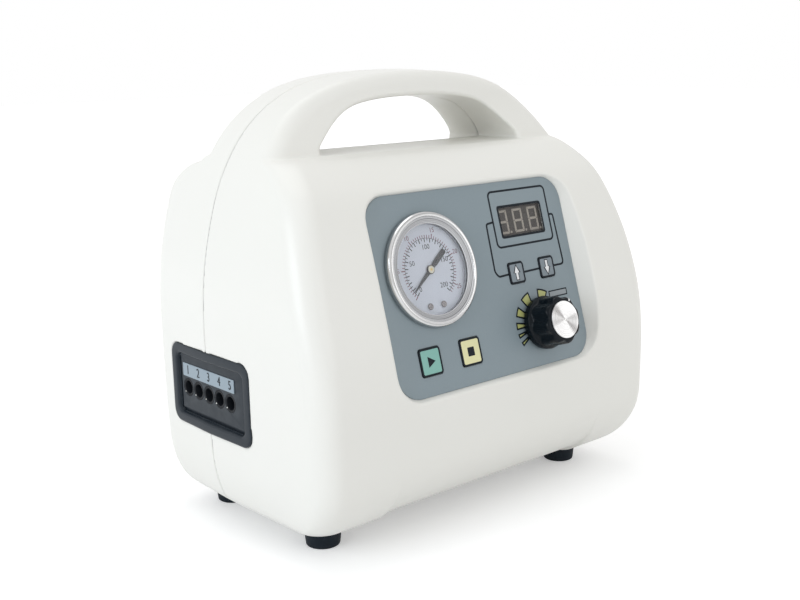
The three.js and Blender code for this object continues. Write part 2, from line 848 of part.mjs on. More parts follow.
for (const [name, x, y] of footSpots) {
  const shoulder = groundGap - fit;
  const neck = groundGap + floorWall + fit;
  const round = footTopRadius - footBottomRadius;
  const foot = turned([
    [0, 0], [footBottomRadius - round, 0], [footBottomRadius, round], [footTopRadius, shoulder],
    [footStemRadius, shoulder], [footStemRadius, neck], [footStemHead, neck],
    [footStemRadius, neck + wall], [0, neck + wall],
  ], smallSteps);
  addPiece(model, name, foot.translate(x, y, 0), 0x1e252b, 0.7);
}

['lower_left', 'lower_right', 'upper_left', 'upper_right'].forEach((place, i) => {
  const [x, z] = bossSpots[i];
  const shank = toSolid(rodY(screwRadius, -screwReach + overrun, screwSeatY + wall / 2, x, z, tinySteps));
  const head = toSolid(rodY(screwHeadRadius, screwSeatY + fit, screwSeatY + fit + screwHeadHeight, x, z,
    tinySteps));
  addPiece(model, `housing_screw_${place}`, joined(shank, head), 0x8c8f92, 0.4, 0.9);
});

// Control panel

const faceMargin = -fit;
const faceShape = roundedShape(panelWidth + faceMargin * 2, panelHeight + faceMargin * 2,
  panelCorner + faceMargin);
const face = cut(toSolid(prism(faceShape, -overlayThickness, 0)),
  ...panelHoles(-overlayThickness - overrun, overrun, fit * 2));
addPiece(panelGroup, 'control_panel', face, 0x84909b, 0.5);

const pane = prism(roundedShape(windowWidth, windowHeight, windowCorner, displayX, windowRow),
  -windowDepth, 0);
addPiece(panelGroup, 'display_window', pane, 0x4e4c4b, 0.15);

const ledFront = overlayBase - fit;
const led = block(
  [displayX - ledWidth / 2, windowRow - ledHeight / 2, ledFront - ledDepth],
  [displayX + ledWidth / 2, windowRow + ledHeight / 2, ledFront],
);
addPiece(panelGroup, 'led_display', led, 0x3c3a39, 0.5);

for (const key of keys) {
  const flange = floorBack - fit;
  const cap = toSolid(prism(roundedShape(key.size, key.size, keyCorner, key.x, key.row),
    flange - keyFlange / 2, keyRise));
  const skirtSize = key.size + keyFlangeMargin * 2;
  const skirt = toSolid(prism(roundedShape(skirtSize, skirtSize, keyCorner, key.x, key.row),
    flange - keyFlange, flange));
  const colour = { start_button: 0x7da3a0, stop_button: 0xc9ca9e }[key.name] ?? 0x8b96a0;
  addPiece(panelGroup, key.name, joined(cap, skirt), colour, 0.45);
}

function panelBoard() {
  const outline = polygon([
    [boardLeft, boardBottom], [boardRight, boardBottom], [boardRight, boardTop],
    [boardColumnLeft, boardTop], [boardColumnLeft, boardStripTop], [boardLeft, boardStripTop],
  ]);
  const regulatorHole = rod(regulatorRadius + fit * 2, boardBack - overrun, boardFront + overrun,
    knobX, knobRow);
  const holes = boardSpots.map(([x, y]) => rod(standoffPilot, boardBack - overrun, boardFront + overrun,
    x, y, tinySteps));
  const switchTop = floorBack - fit - keyFlange - keyTravel - fit;
  const switches = keys.map((key) => block(
    [key.x - switchSize / 2, key.row - switchSize / 2, boardFront - boardThickness / 2],
    [key.x + switchSize / 2, key.row + switchSize / 2, switchTop],
  ));
  const plate = toSolid(prism(outline, boardBack, boardFront));
  return joined(cut(plate, toSolid(regulatorHole), ...holes.map(toSolid)), ...switches.map(toSolid));
}
addPiece(panelGroup, 'panel_board', panelBoard(), 0x2f5b3c, 0.6);

// Pressure gauge, drawn about its own axis

const gauge = new THREE.Group();
gauge.position.set(gaugeX, gaugeRow, 0);
panelGroup.add(gauge);

const lensBase = lensLevel - lensThickness;
const caseTop = lensBase - fit;
const dialBase = dialLevel - dialThickness;
const caseBore = gaugeCaseRadius - gaugeCaseWall;
const caseBack = caseTop - gaugeCaseDepth;
const stemEnd = caseBack - stemLength;
const gaugeCase = cut(
  toSolid(turned([
    [0, caseTop], [gaugeCaseRadius, caseTop], [gaugeCaseRadius, caseBack], [stemRadius, caseBack],
    [stemRadius, stemEnd], [nippleRadius, stemEnd], [nippleRadius, stemEnd - nippleLength],
    [0, stemEnd - nippleLength],
  ].reverse())),
  toSolid(rod(caseBore, caseBack + gaugeCaseWall, caseTop + overrun, 0, 0, roundSteps)),
  toSolid(rod(nippleBore, stemEnd - nippleLength - overrun, caseBack + overrun, 0, 0, tinySteps)),
);
addPiece(gauge, 'gauge_case', gaugeCase, 0x2a2d31, 0.5, 0.3);

const lensRadius = gaugeCaseRadius - fit;
const lipBase = lensLevel + fit;
const windowRadius = gaugeRadius - bezelBand - gaugeCaseWall * 2;
const bezel = turnedRing([
  [gaugeCaseRadius + fit, fit], [gaugeRadius, fit], [gaugeRadius, bezelHeight / 2],
  [gaugeRadius - bezelBand / 5, bezelHeight * 0.85], [gaugeRadius - bezelBand / 2, bezelHeight],
  [gaugeRadius - bezelBand, bezelHeight * 0.93], [windowRadius, lipBase + fit], [windowRadius, lipBase],
  [gaugeCaseRadius + fit, lipBase],
]);
addPiece(gauge, 'gauge_bezel', bezel, 0xb4b8bc, 0.2, 1);
addPiece(gauge, 'gauge_lens', rod(lensRadius, lensBase, lensLevel, 0, 0, roundSteps), 0xe8eef2, 0.05);

const dialSpots = [[-dialScrewSpan / 2, dialScrewRow], [dialScrewSpan / 2, dialScrewRow]];
const screwShank = dialScrewRadius / 2;
const dial = cut(
  toSolid(rod(dialRadius, dialBase, dialLevel, 0, 0, roundSteps)),
  toSolid(rod(spindleRadius + fit * 2, dialBase - overrun, dialLevel + overrun, 0, 0, tinySteps)),
  ...dialSpots.map(([x, y]) => toSolid(
    rod(screwShank + fit, dialBase - overrun, dialLevel + overrun, x, y, tinySteps))),
);
addPiece(gauge, 'gauge_dial', dial, 0xd6d9de, 0.5);

const movementTop = dialBase - fit;
const movementBack = caseBack + gaugeCaseWall + fit;
const armDepth = dialThickness * 4;
const movement = cut(
  joined(
    toSolid(rod(stemRadius * 2, movementBack, movementTop)),
    toSolid(block(
      [-dialScrewSpan, dialScrewRow - dialScrewRadius * 2, movementTop - armDepth],
      [dialScrewSpan, 0, movementTop],
    )),
  ),
  toSolid(rod(spindleRadius + fit, movementTop - stemRadius, movementTop + overrun, 0, 0, tinySteps)),
  ...dialSpots.map(([x, y]) => toSolid(
    rod(screwShank + fit, movementTop - armDepth * 2, movementTop + overrun, x, y, tinySteps))),
);
addPiece(gauge, 'gauge_movement', movement, 0xa58a4c, 0.4, 0.8);

dialSpots.forEach(([x, y], i) => {
  const screw = joined(
    toSolid(rod(dialScrewRadius, dialLevel + fit, dialLevel + fit + dialScrewHead, x, y, tinySteps)),
    toSolid(rod(screwShank, movementTop - armDepth, dialLevel + fit * 2, x, y, tinySteps)),
  );
  addPiece(gauge, `dial_screw_${['left', 'right'][i]}`, screw, 0xc8c4b4, 0.3, 0.9);
});

const pointerShape = polygon([
  [-pointerTipWidth / 2, pointerTip], [-pointerTailWidth / 2, 0], [-pointerTailWidth / 2, -pointerTail],
  [pointerTailWidth / 2, -pointerTail], [pointerTailWidth / 2, 0], [pointerTipWidth / 2, pointerTip],
]);
const pointerBase = lensBase - fit * 2 - pointerThickness;
const pointer = joined(
  toSolid(prism(pointerShape, pointerBase, pointerBase + pointerThickness)),
  toSolid(rod(pointerCapRadius, pointerBase - fit, lensBase - fit)),
  toSolid(rod(spindleRadius, movementTop - stemRadius + fit, pointerBase, 0, 0, tinySteps)),
);
addPiece(gauge, 'gauge_pointer', pointer, 0x26262a, 0.4).rotation.z = -pointerAngle;

// Pressure knob and regulator, drawn about their own axis

const knob = new THREE.Group();
knob.position.set(knobX, knobRow, 0);
panelGroup.add(knob);

const knobTop = knobClearance + knobHeight;
const knobRing = (radius, depth, z) => Array.from({ length: knobLobes * 4 }, (_, i) => {
  const angle = (i / (knobLobes * 4)) * Math.PI * 2;
  const reach = radius - depth * [0, 0.4, 1, 0.4][i % 4];
  return new THREE.Vector3(reach * Math.cos(angle), reach * Math.sin(angle), z);
});
const hollowTop = bushHeight + fit + knobClearance;
const knobBody = cut(
  joined(
    toSolid(loft([
      knobRing(knobBaseRadius - knobClearance, 0, knobClearance),
      knobRing(knobBaseRadius, 0, knobClearance + knobSkirt / 2),
      knobRing(knobBaseRadius, 0, knobClearance + knobSkirt * 0.8),
      knobRing(knobRimRadius, lobeDepth / 2, knobClearance + knobSkirt),
      knobRing(knobRimRadius, lobeDepth, knobClearance + knobSkirt * 1.5),
      knobRing(knobRimRadius - lobeDepth, lobeDepth, knobTop - lobeDepth * 2),
      knobRing(knobCapRadius + lobeDepth, 0, knobTop),
    ])),
  ),
  toSolid(rod(knobBaseRadius - knobWall, 0, hollowTop)),
  toSolid(rod(shaftRadius + fit, 0, knobTop - knobWall, 0, 0, tinySteps)),
);
addPiece(knob, 'knob_body', knobBody, 0x20242a, 0.45);
const cap = turned([
  [0, knobTop + fit], [knobCapRadius, knobTop + fit], [knobCapRadius, knobTop + knobCapThickness * 0.7],
  [knobCapRadius - knobCapThickness / 2, knobTop + knobCapThickness], [0, knobTop + knobCapThickness],
]);
addPiece(knob, 'knob_cap', cap, 0xb9bdc2, 0.3, 0.9);

const regulatorTop = floorBack - fit;
const regulatorBack = regulatorTop - regulatorDepth;
const shaft = rod(shaftRadius, regulatorTop - shaftDepth, knobTop - knobWall - fit, 0, 0, tinySteps);
addPiece(knob, 'regulator_shaft', shaft, 0xb0b3b6, 0.35, 0.9);
const regulator = cut(
  toSolid(turned([
    [0, bushHeight], [bushRadius, bushHeight], [bushRadius, regulatorTop], [regulatorRadius, regulatorTop],
    [regulatorRadius, regulatorBack], [nippleRadius, regulatorBack],
    [nippleRadius, regulatorBack - nippleLength], [0, regulatorBack - nippleLength],
  ].reverse(), smallSteps)),
  toSolid(rod(shaftRadius + fit, regulatorTop - shaftDepth - fit, bushHeight + overrun, 0, 0, tinySteps)),
  toSolid(rod(nippleBore, regulatorBack - nippleLength - overrun, regulatorBack + overrun, 0, 0,
    tinySteps)),
);
addPiece(knob, 'regulator_body', regulator, 0x9da1a5, 0.4, 0.6);

// Outlets on the left side

const frame = cut(
  sideSlab(socketWidth, socketHeight, socketCorner, sideX - socketProud,
    sideX - socketProud + socketThickness),
  sideSlab(socketInnerWidth, socketInnerHeight, socketCorner - socketBand / 2,
    sideX - socketProud - overrun, sideX + overrun * 2),
);
addPiece(model, 'socket_bezel', frame, 0x34383f, 0.5);

const portY = (i) => portOffset + (i - (portCount - 1) / 2) * -portPitch;
const portZ = socketZ + portRow;
const sleeveRadius = portRadius + portWall;
const plateInner = blockFaceX + plateThickness;
const manifoldFace = blockFaceX + portDepth + fit;
const manifoldBack = manifoldFace + manifoldDepth;

// A cylinder along X between two places
const rodX = (radius, from, to, y, z, steps = smallSteps) => (
  alongX(rod(radius, from, to, 0, 0, steps)).translate(0, y, z));

const plateShape = roundedShape(socketInnerWidth - fit * 2, socketInnerHeight - fit * 2,
  socketCorner - socketBand / 2 - fit);
const plateBlank = prism(plateShape, blockFaceX, plateInner).applyMatrix4(
  new THREE.Matrix4().makeBasis(
    new THREE.Vector3(0, 1, 0), new THREE.Vector3(0, 0, 1), new THREE.Vector3(1, 0, 0),
  ),
).translate(0, 0, socketZ);
const ports = Array.from({ length: portCount }, (_, i) => i);
const plate = cut(
  toSolid(plateBlank),
  ...ports.map((i) => toSolid(
    rodX(sleeveRadius + fit, blockFaceX - overrun, plateInner + overrun, portY(i), portZ))),
);
addPiece(model, 'outlet_plate', plate, 0x23282f, 0.5);

const label = block(
  [blockFaceX - labelGap - labelThickness, labelOffset - labelLength / 2,
    socketZ + labelRow - labelHeight / 2],
  [blockFaceX - labelGap, labelOffset + labelLength / 2, socketZ + labelRow + labelHeight / 2],
);
addPiece(model, 'port_label', label, 0x9fb0c0, 0.6);

for (const i of ports) {
  const sleeve = turnedRing([
    [portRadius, blockFaceX], [sleeveRadius, blockFaceX], [sleeveRadius, manifoldFace - fit],
    [portRadius, manifoldFace - fit],
  ], smallSteps);
  addPiece(model, `outlet_socket_${i + 1}`, alongX(sleeve).translate(0, portY(i), portZ), 0x15191f, 0.45);
}

const manifoldHalf = ((portCount - 1) / 2) * portPitch + manifoldMargin;
const manifold = cut(
  joined(
    toSolid(block(
      [manifoldFace, portOffset - manifoldHalf, portZ - manifoldHeight / 2],
      [manifoldBack, portOffset + manifoldHalf, portZ + manifoldHeight / 2],
    )),
    ...ports.map((i) => toSolid(
      rodX(nippleRadius, manifoldBack - overrun, manifoldBack + nippleLength, portY(i), portZ, tinySteps))),
  ),
  ...ports.map((i) => toSolid(rodX(
    nippleBore, manifoldFace - overrun, manifoldBack + nippleLength + overrun, portY(i), portZ, tinySteps))),
);
addPiece(model, 'outlet_manifold', manifold, 0x2b3038, 0.5);

// Rotary valve

const innerFloor = groundGap + floorWall + fit;
const motorTop = innerFloor + valveMotorHeight;
const valveBase = motorTop + fit;
const valveTop = valveBase + valveHeight;
const serviceNames = { gauge: -serviceSpread, regulator: serviceSpread };
const circlePoint = (angle, z) => new THREE.Vector3(
  valveX + nippleCircle * Math.cos(angle),
  valveY + nippleCircle * Math.sin(angle),
  z,
);
const outletAngle = (i) => Math.PI + (i - (portCount - 1) / 2) * outletSpread;
const topAngles = [...ports.map(outletAngle), ...Object.values(serviceNames)];
const inletLevel = valveTop - valveRoof / 2;

const nippleAt = (radius, angle, from, to) => {
  const at = circlePoint(angle, 0);
  return toSolid(rod(radius, from, to, at.x, at.y, tinySteps));
};
const valveBody = cut(
  joined(
    toSolid(rod(valveRadius, valveBase, valveTop, valveX, valveY, roundSteps)),
    ...topAngles.map((angle) => nippleAt(nippleRadius, angle, valveTop - overrun, valveTop + nippleLength)),
    toSolid(rodX(nippleRadius, valveX + valveRadius - overrun, valveX + valveRadius + nippleLength, valveY,
      inletLevel, tinySteps)),
  ),
  toSolid(rod(valveRadius - valveWall, valveBase - overrun, valveTop - valveRoof, valveX, valveY,
    roundSteps)),
  ...topAngles.map((angle) => nippleAt(nippleBore, angle, valveTop - valveRoof - overrun,
    valveTop + nippleLength + overrun)),
);
addPiece(model, 'valve_body', valveBody, 0xd9d8d2, 0.5);

const rotorTop = valveTop - valveRoof - fit;
const rotor = cut(
  joined(
    toSolid(rod(rotorRadius, rotorTop - rotorThickness, rotorTop, valveX, valveY, roundSteps)),
    toSolid(rod(rotorShaftRadius, motorTop - rotorShaftDepth, rotorTop, valveX, valveY, tinySteps)),
  ),
  nippleAt(nippleRadius, 0, rotorTop - rotorThickness - overrun, rotorTop + overrun),
);
addPiece(model, 'valve_rotor', rotor, 0xc7b98a, 0.45);

const valveMotor = cut(
  toSolid(rod(valveMotorRadius, innerFloor, motorTop, valveX, valveY, roundSteps)),
  toSolid(rod(rotorShaftRadius + fit, motorTop - rotorShaftDepth - fit, motorTop + overrun, valveX, valveY,
    tinySteps)),
);
addPiece(model, 'valve_motor', valveMotor, 0xa9adb0, 0.4, 0.8);

// Air pump: a magnet bar slides between the core's poles and works two heads

const pumpBase = innerFloor + mountHeight;
const pumpLidBase = pumpBase + pumpHeight + fit;
const pumpLeft = pumpX - pumpWidth / 2;
const pumpRight = pumpX + pumpWidth / 2;
const pumpFront = pumpY - pumpDepth / 2;
const pumpRear = pumpY + pumpDepth / 2;
const pumpFloor = pumpBase + pumpWall;
const poleSpan = coreGap + coreLeg * 2;
const coreBottom = pumpFloor + fit;
const coreTop = coreBottom + coreHeight;
const armLevel = coreTop - armThickness / 2;
const headInner = pumpWidth / 2 - pumpWall - pumpHeadDepth;

function pumpCase() {
  const heads = [-1, 1].map((side) => block(
    [pumpX + Math.min(side * headInner, side * (pumpWidth / 2 - pumpWall / 2)),
      pumpY - pumpHeadWidth / 2, pumpFloor - pumpWall / 2],
    [pumpX + Math.max(side * headInner, side * (pumpWidth / 2 - pumpWall / 2)),
      pumpY + pumpHeadWidth / 2, pumpBase + pumpHeight - pumpWall],
  ));
  const bores = [-1, 1].map((side) => {
    const ends = [side * (headInner - overrun), side * (pumpWidth / 2 - pumpWall)];
    return rodX(pumpBore, pumpX + Math.min(...ends), pumpX + Math.max(...ends), pumpY, armLevel);
  });
  return cut(
    joined(
      cut(
        toSolid(block([pumpLeft, pumpFront, pumpBase], [pumpRight, pumpRear, pumpBase + pumpHeight])),
        toSolid(block(
          [pumpLeft + pumpWall, pumpFront + pumpWall, pumpFloor],
          [pumpRight - pumpWall, pumpRear - pumpWall, pumpBase + pumpHeight + overrun],
        )),
      ),
      ...heads.map(toSolid),
      toSolid(rodX(nippleRadius, pumpLeft - nippleLength, pumpLeft + overrun / 2, valveY, inletLevel,
        tinySteps)),
    ),
    ...bores.map(toSolid),
    toSolid(rodX(nippleBore, pumpLeft - nippleLength - overrun, pumpLeft + pumpWall + overrun, valveY,
      inletLevel, tinySteps)),
  );
}
addPiece(model, 'pump_case', pumpCase(), 0x3a3d42, 0.5);

const pumpLid = block([pumpLeft, pumpFront, pumpLidBase],
  [pumpRight, pumpRear, pumpLidBase + pumpLidThickness]);
addPiece(model, 'pump_lid', pumpLid, 0x44474c, 0.5);

const coreProfile = polygon([
  [-poleSpan / 2, 0], [poleSpan / 2, 0], [poleSpan / 2, coreHeight], [coreGap / 2, coreHeight],
  [coreGap / 2, coreBase], [-coreGap / 2, coreBase], [-coreGap / 2, coreHeight],
  [-poleSpan / 2, coreHeight],
]);
const core = prism(coreProfile, -coreWidth / 2, coreWidth / 2).applyMatrix4(
  new THREE.Matrix4().makeBasis(
    new THREE.Vector3(0, 1, 0), new THREE.Vector3(0, 0, 1), new THREE.Vector3(1, 0, 0),
  ),
).translate(pumpX, pumpY, coreBottom);
addPiece(model, 'pump_core', core, 0x6f7275, 0.5, 0.7);

const legY = pumpY - coreGap / 2 - coreLeg / 2;
const coilBase = coreBottom + coreBase + fit;
const coil = cut(
  toSolid(block(
    [pumpX - coreWidth / 2 - coilMargin, legY - coreLeg / 2 - coilMargin, coilBase],
    [pumpX + coreWidth / 2 + coilMargin, legY + coreLeg / 2 + coilMargin, coilBase + coilHeight],
  )),
  toSolid(block(
    [pumpX - coreWidth / 2 - fit, legY - coreLeg / 2 - fit, coilBase - overrun],
    [pumpX + coreWidth / 2 + fit, legY + coreLeg / 2 + fit, coilBase + coilHeight + overrun],
  )),
);
addPiece(model, 'pump_coil', coil, 0xa0522d, 0.45);

const armHalf = headInner - armTravel - fit;
const armature = joined(
  toSolid(block(
    [pumpX - armHalf, pumpY - coreGap / 2 + fit, armLevel - armThickness / 2],
    [pumpX + armHalf, pumpY + coreGap / 2 - fit, armLevel + armThickness / 2],
  )),
  toSolid(rodX(pumpBore - fit, pumpX - headInner - pumpBore / 2, pumpX + headInner + pumpBore / 2, pumpY,
    armLevel)).subtract(toSolid(block(
    [pumpX - armHalf + overrun, pumpFront, pumpBase],
    [pumpX + armHalf - overrun, pumpRear, pumpLidBase],
  ))),
);
addPiece(model, 'pump_armature', armature, 0x8f9498, 0.35, 0.9);

[['left', pumpLeft + mountInset], ['right', pumpRight - mountInset - mountWidth]].forEach(([side, x]) => {
  const mount = block(
    [x, pumpFront + mountInset, innerFloor],
    [x + mountWidth, pumpRear - mountInset, pumpBase - fit],
  );
  addPiece(model, `pump_mount_${side}`, mount, 0x2b2b2d, 0.9);
});

// Hoses, each an open tube slipped over a nipple at either end

function hose(start, startWay, end, endWay, bend) {
  const sleeve = nippleLength - fit * 2;
  const from = start.clone().addScaledVector(startWay, fit);
  const to = end.clone().addScaledVector(endWay, fit);
  const leave = from.clone().addScaledVector(startWay, sleeve);
  const arrive = to.clone().addScaledVector(endWay, sleeve);
  const route = new THREE.CurvePath();
  route.add(new THREE.LineCurve3(from, leave));
  route.add(new THREE.CubicBezierCurve3(
    leave,
    leave.clone().addScaledVector(startWay, bend),
    arrive.clone().addScaledVector(endWay, bend),
    arrive,
  ));
  route.add(new THREE.LineCurve3(arrive, to));
  const section = new THREE.Shape().absarc(0, 0, hoseRadius, 0, Math.PI * 2);
  section.holes.push(new THREE.Path().absarc(0, 0, hoseBore + fit, 0, Math.PI * 2, true));
  const steps = Math.round(route.getLength() / (hoseRadius * hoseStepShare));
  return new THREE.ExtrudeGeometry(section, { steps, curveSegments: hoseSides, extrudePath: route });
}

const up = new THREE.Vector3(0, 0, 1);
const inwardX = new THREE.Vector3(1, 0, 0);
const hoseColour = 0xd8dcdc;
for (const i of ports) {
  const socket = new THREE.Vector3(manifoldBack, portY(i), portZ);
  const valvePort = circlePoint(outletAngle(i), valveTop);
  addPiece(model, `outlet_hose_${i + 1}`, hose(socket, inwardX, valvePort, up, hoseRadius * 2), hoseColour,
    0.35);
}
const backwards = new THREE.Vector3(0, 0, -1).transformDirection(panelGroup.matrix);
const rearNipple = (x, row, level) => new THREE.Vector3(x, row, level).applyMatrix4(panelGroup.matrix);
const gaugeEnd = rearNipple(gaugeX, gaugeRow, stemEnd);
const regulatorEnd = rearNipple(knobX, knobRow, regulatorBack);
addPiece(model, 'gauge_hose', hose(gaugeEnd, backwards, circlePoint(serviceNames.gauge, valveTop), up,
  hoseRadius * 6), hoseColour, 0.35);
addPiece(model, 'regulator_hose', hose(regulatorEnd, backwards,
  circlePoint(serviceNames.regulator, valveTop), up, hoseRadius * 10), hoseColour, 0.35);
const pumpHose = turnedRing([
  [hoseBore, valveX + valveRadius + fit], [hoseRadius, valveX + valveRadius + fit],
  [hoseRadius, pumpLeft - fit], [hoseBore, pumpLeft - fit],
], smallSteps);
addPiece(model, 'pump_hose', alongX(pumpHose).translate(0, valveY, inletLevel), hoseColour, 0.35);

// Power module, inlet and rocker switch

function powerModule() {
  const boardLevel = innerFloor + moduleLeg;
  const left = moduleX - moduleWidth / 2;
  const right = moduleX + moduleWidth / 2;
  const front = moduleY - moduleDepth / 2;
  const rear = moduleY + moduleDepth / 2;
  const top = boardLevel + boardThickness;
  const legs = [left, right - moduleLeg].flatMap((x) => [front, rear - moduleLeg].map((y) => block(
    [x, y, innerFloor], [x + moduleLeg, y + moduleLeg, top - boardThickness / 2],
  )));
  const transformer = block(
    [left + moduleLeg, front + wall, top - boardThickness / 2],
    [left + moduleLeg + transformerWidth, rear - wall, top + transformerHeight],
  );
  const capacitor = rod(capacitorRadius, top - boardThickness / 2, top + capacitorHeight,
    right - capacitorRadius * 2, moduleY);
  return joined(
    toSolid(block([left, front, boardLevel], [right, rear, top])),
    ...legs.map(toSolid),
    toSolid(transformer),
    toSolid(capacitor),
  );
}
addPiece(model, 'power_module', powerModule(), 0x40603f, 0.6);

const inletLeft = inletX - inletWidth / 2;
const inletRight = inletX + inletWidth / 2;
const rockerLeft = rockerX - rockerWidth / 2;
const rockerRight = rockerX + rockerWidth / 2;
const moduleBack = rearReach - inletDepth;
const flangeFace = rearReach + fit + inletFlange;
const pivotY = flangeFace - rockerDepth / 2;

function powerInlet() {
  const flange = block(
    [rockerLeft - inletWall - inletFlange, rearReach + fit, inletZ - inletHeight / 2 - inletFlange],
    [inletRight + inletFlange, flangeFace, inletZ + inletHeight / 2 + inletFlange],
  );
  const body = block(
    [rockerLeft - inletWall, moduleBack, inletZ - inletHeight / 2],
    [inletRight, rearReach + inletFlange / 2, inletZ + inletHeight / 2],
  );
  const socket = block(
    [inletLeft + inletWall, flangeFace - inletCavityDepth, inletZ - inletHeight / 2 + inletWall],
    [inletRight - inletWall, flangeFace + overrun, inletZ + inletHeight / 2 - inletWall],
  );
  const pinRoot = flangeFace - inletCavityDepth - inletWall;
  const pins = [-inletPinPitch, 0, inletPinPitch].map((x) => block(
    [inletX + x - inletPinWidth / 2, pinRoot, inletZ - inletPinHeight / 2],
    [inletX + x + inletPinWidth / 2, pinRoot + inletWall + inletPinLength, inletZ + inletPinHeight / 2],
  ));
  const rockerPocket = block(
    [rockerLeft - fit, moduleBack + inletWall, inletZ - rockerHeight / 2 + inletWall / 2],
    [rockerRight + fit, flangeFace + overrun, inletZ + rockerHeight / 2 - inletWall / 2],
  );
  const pinHole = rodX(rockerPinRadius + fit, rockerLeft - inletWall / 2 - fit * 2,
    rockerRight + inletWall / 2 + fit * 2, pivotY, inletZ, tinySteps);
  return joined(
    cut(joined(toSolid(flange), toSolid(body)), toSolid(socket), toSolid(rockerPocket), toSolid(pinHole)),
    ...pins.map(toSolid),
  );
}
addPiece(model, 'power_inlet', powerInlet(), 0x1c1d20, 0.45);

function rocker() {
  const reach = rockerHeight / 2 - inletWall / 2 - fit * 4;
  const shape = polygon([
    [-reach, rockerCrown], [-reach / 2, rockerCrown / 2], [0, 0], [reach / 2, rockerCrown / 2],
    [reach, rockerCrown], [reach * 0.8, -rockerDepth * 0.7], [0, -rockerDepth], [-reach * 0.8,
      -rockerDepth * 0.7],
  ].map(([z, y]) => [y, z]));
  const half = (rockerWidth - fit * 2) / 2;
  const body = prism(shape, -half, half).applyMatrix4(new THREE.Matrix4().makeBasis(
    new THREE.Vector3(0, 1, 0), new THREE.Vector3(0, 0, 1), new THREE.Vector3(1, 0, 0),
  ));
  const pin = alongX(rod(rockerPinRadius, -half - inletWall / 2, half + inletWall / 2,
    0, 0, tinySteps)).translate(0, -rockerDepth / 2, 0);
  return joined(toSolid(body), toSolid(pin));
}
const rockerMesh = addPiece(model, 'power_rocker', toGeometry(rocker()).translate(0, rockerDepth / 2, 0),
  0x16171a, 0.4);
rockerMesh.position.set(rockerX, pivotY, inletZ);
rockerMesh.rotation.x = rockerSwing;

// The model stands on the middle of its resting face
model.updateMatrixWorld(true);
const reachBox = new THREE.Box3().setFromObject(model);
const centred = new THREE.Group();
model.position.set(
  -(reachBox.min.x + reachBox.max.x) / 2,
  -(reachBox.min.y + reachBox.max.y) / 2,
  -reachBox.min.z,
);
centred.add(model);

export default centred;
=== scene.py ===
import bpy
import bmesh
import json
import math
from mathutils import Matrix, Vector

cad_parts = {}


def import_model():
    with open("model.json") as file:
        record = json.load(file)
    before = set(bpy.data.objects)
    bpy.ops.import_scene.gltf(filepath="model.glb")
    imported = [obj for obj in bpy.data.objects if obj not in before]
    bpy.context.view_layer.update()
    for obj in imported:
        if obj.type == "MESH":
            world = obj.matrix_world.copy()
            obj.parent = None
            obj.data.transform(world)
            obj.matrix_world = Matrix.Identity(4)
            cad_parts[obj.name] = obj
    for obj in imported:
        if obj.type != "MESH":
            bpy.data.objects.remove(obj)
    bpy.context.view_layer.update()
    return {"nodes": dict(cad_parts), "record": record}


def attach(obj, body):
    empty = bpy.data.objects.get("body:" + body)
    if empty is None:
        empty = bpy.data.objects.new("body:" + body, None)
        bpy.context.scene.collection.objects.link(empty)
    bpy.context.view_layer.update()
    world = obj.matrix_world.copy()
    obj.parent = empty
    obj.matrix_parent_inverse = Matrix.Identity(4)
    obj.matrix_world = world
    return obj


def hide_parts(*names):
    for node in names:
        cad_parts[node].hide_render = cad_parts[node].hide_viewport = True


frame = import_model()
nodes = frame["nodes"]
print("frame loaded:", len(nodes), "nodes")

# Sizes are in mm from here on, and become metres where a piece is placed
mm = 0.001
shift = Vector((0.010223, 23.051674, 0))    # from the seam plane to the frame's middle
tilt = math.radians(16.12)                  # the panel leans back by this much
panelCentre = Vector((0, -82.6, 137.8))
panelAcross = Vector((1, 0, 0))
panelUp = Vector((0, math.sin(tilt), math.cos(tilt)))
panelOut = Vector((0, -math.cos(tilt), math.sin(tilt)))


def world(x, y, z):
    return (Vector((x, y, z)) + shift) * mm


def sideways(y, z, x):
    # For an outline drawn in the plane of depth and height, and spread across
    return world(x, y, z)


def lengthways(x, z, y):
    # For an outline drawn as seen from the front or the rear, and spread in depth
    return world(x, y, z)


def local(x, y, z):
    return Vector((x, y, z)) * mm


def axes(origin, across, up, out):
    rows = [(across[i], up[i], out[i], origin[i]) for i in range(3)]
    return Matrix((*rows, (0, 0, 0, 1)))


def onPanel(x, row, level):
    return (panelCentre + shift + panelAcross * x + panelUp * row + panelOut * level) * mm


def panelSpot(x, row):
    return axes(onPanel(x, row, 0), panelAcross, panelUp, panelOut)


def addToScene(name, data):
    holder = bpy.data.objects.new(name, data)
    bpy.context.scene.collection.objects.link(holder)
    return holder


# Camera
camera = {
    "focal": 50.69, "sensor": 36, "far": 20, "place": (-446.02, -523.57, 264.91),
    "azimuth": 40.942, "drop": 12.371, "roll": -1.013,
}


def makeCamera():
    data = bpy.data.cameras.new("camera")
    data.lens = camera["focal"]
    data.sensor_width = camera["sensor"]
    data.clip_end = camera["far"]
    holder = addToScene("camera", data)
    azimuth, drop, roll = (math.radians(camera[k]) for k in ("azimuth", "drop", "roll"))
    ahead = Vector((math.sin(azimuth) * math.cos(drop), math.cos(azimuth) * math.cos(drop), -math.sin(drop)))
    right = Vector((math.cos(azimuth), -math.sin(azimuth), 0))
    top = right.cross(ahead)
    turnedRight = right * math.cos(roll) + top * math.sin(roll)
    turnedTop = top * math.cos(roll) - right * math.sin(roll)
    holder.matrix_world = axes(world(*camera["place"]), turnedRight, turnedTop, -ahead)
    bpy.context.scene.camera = holder


makeCamera()


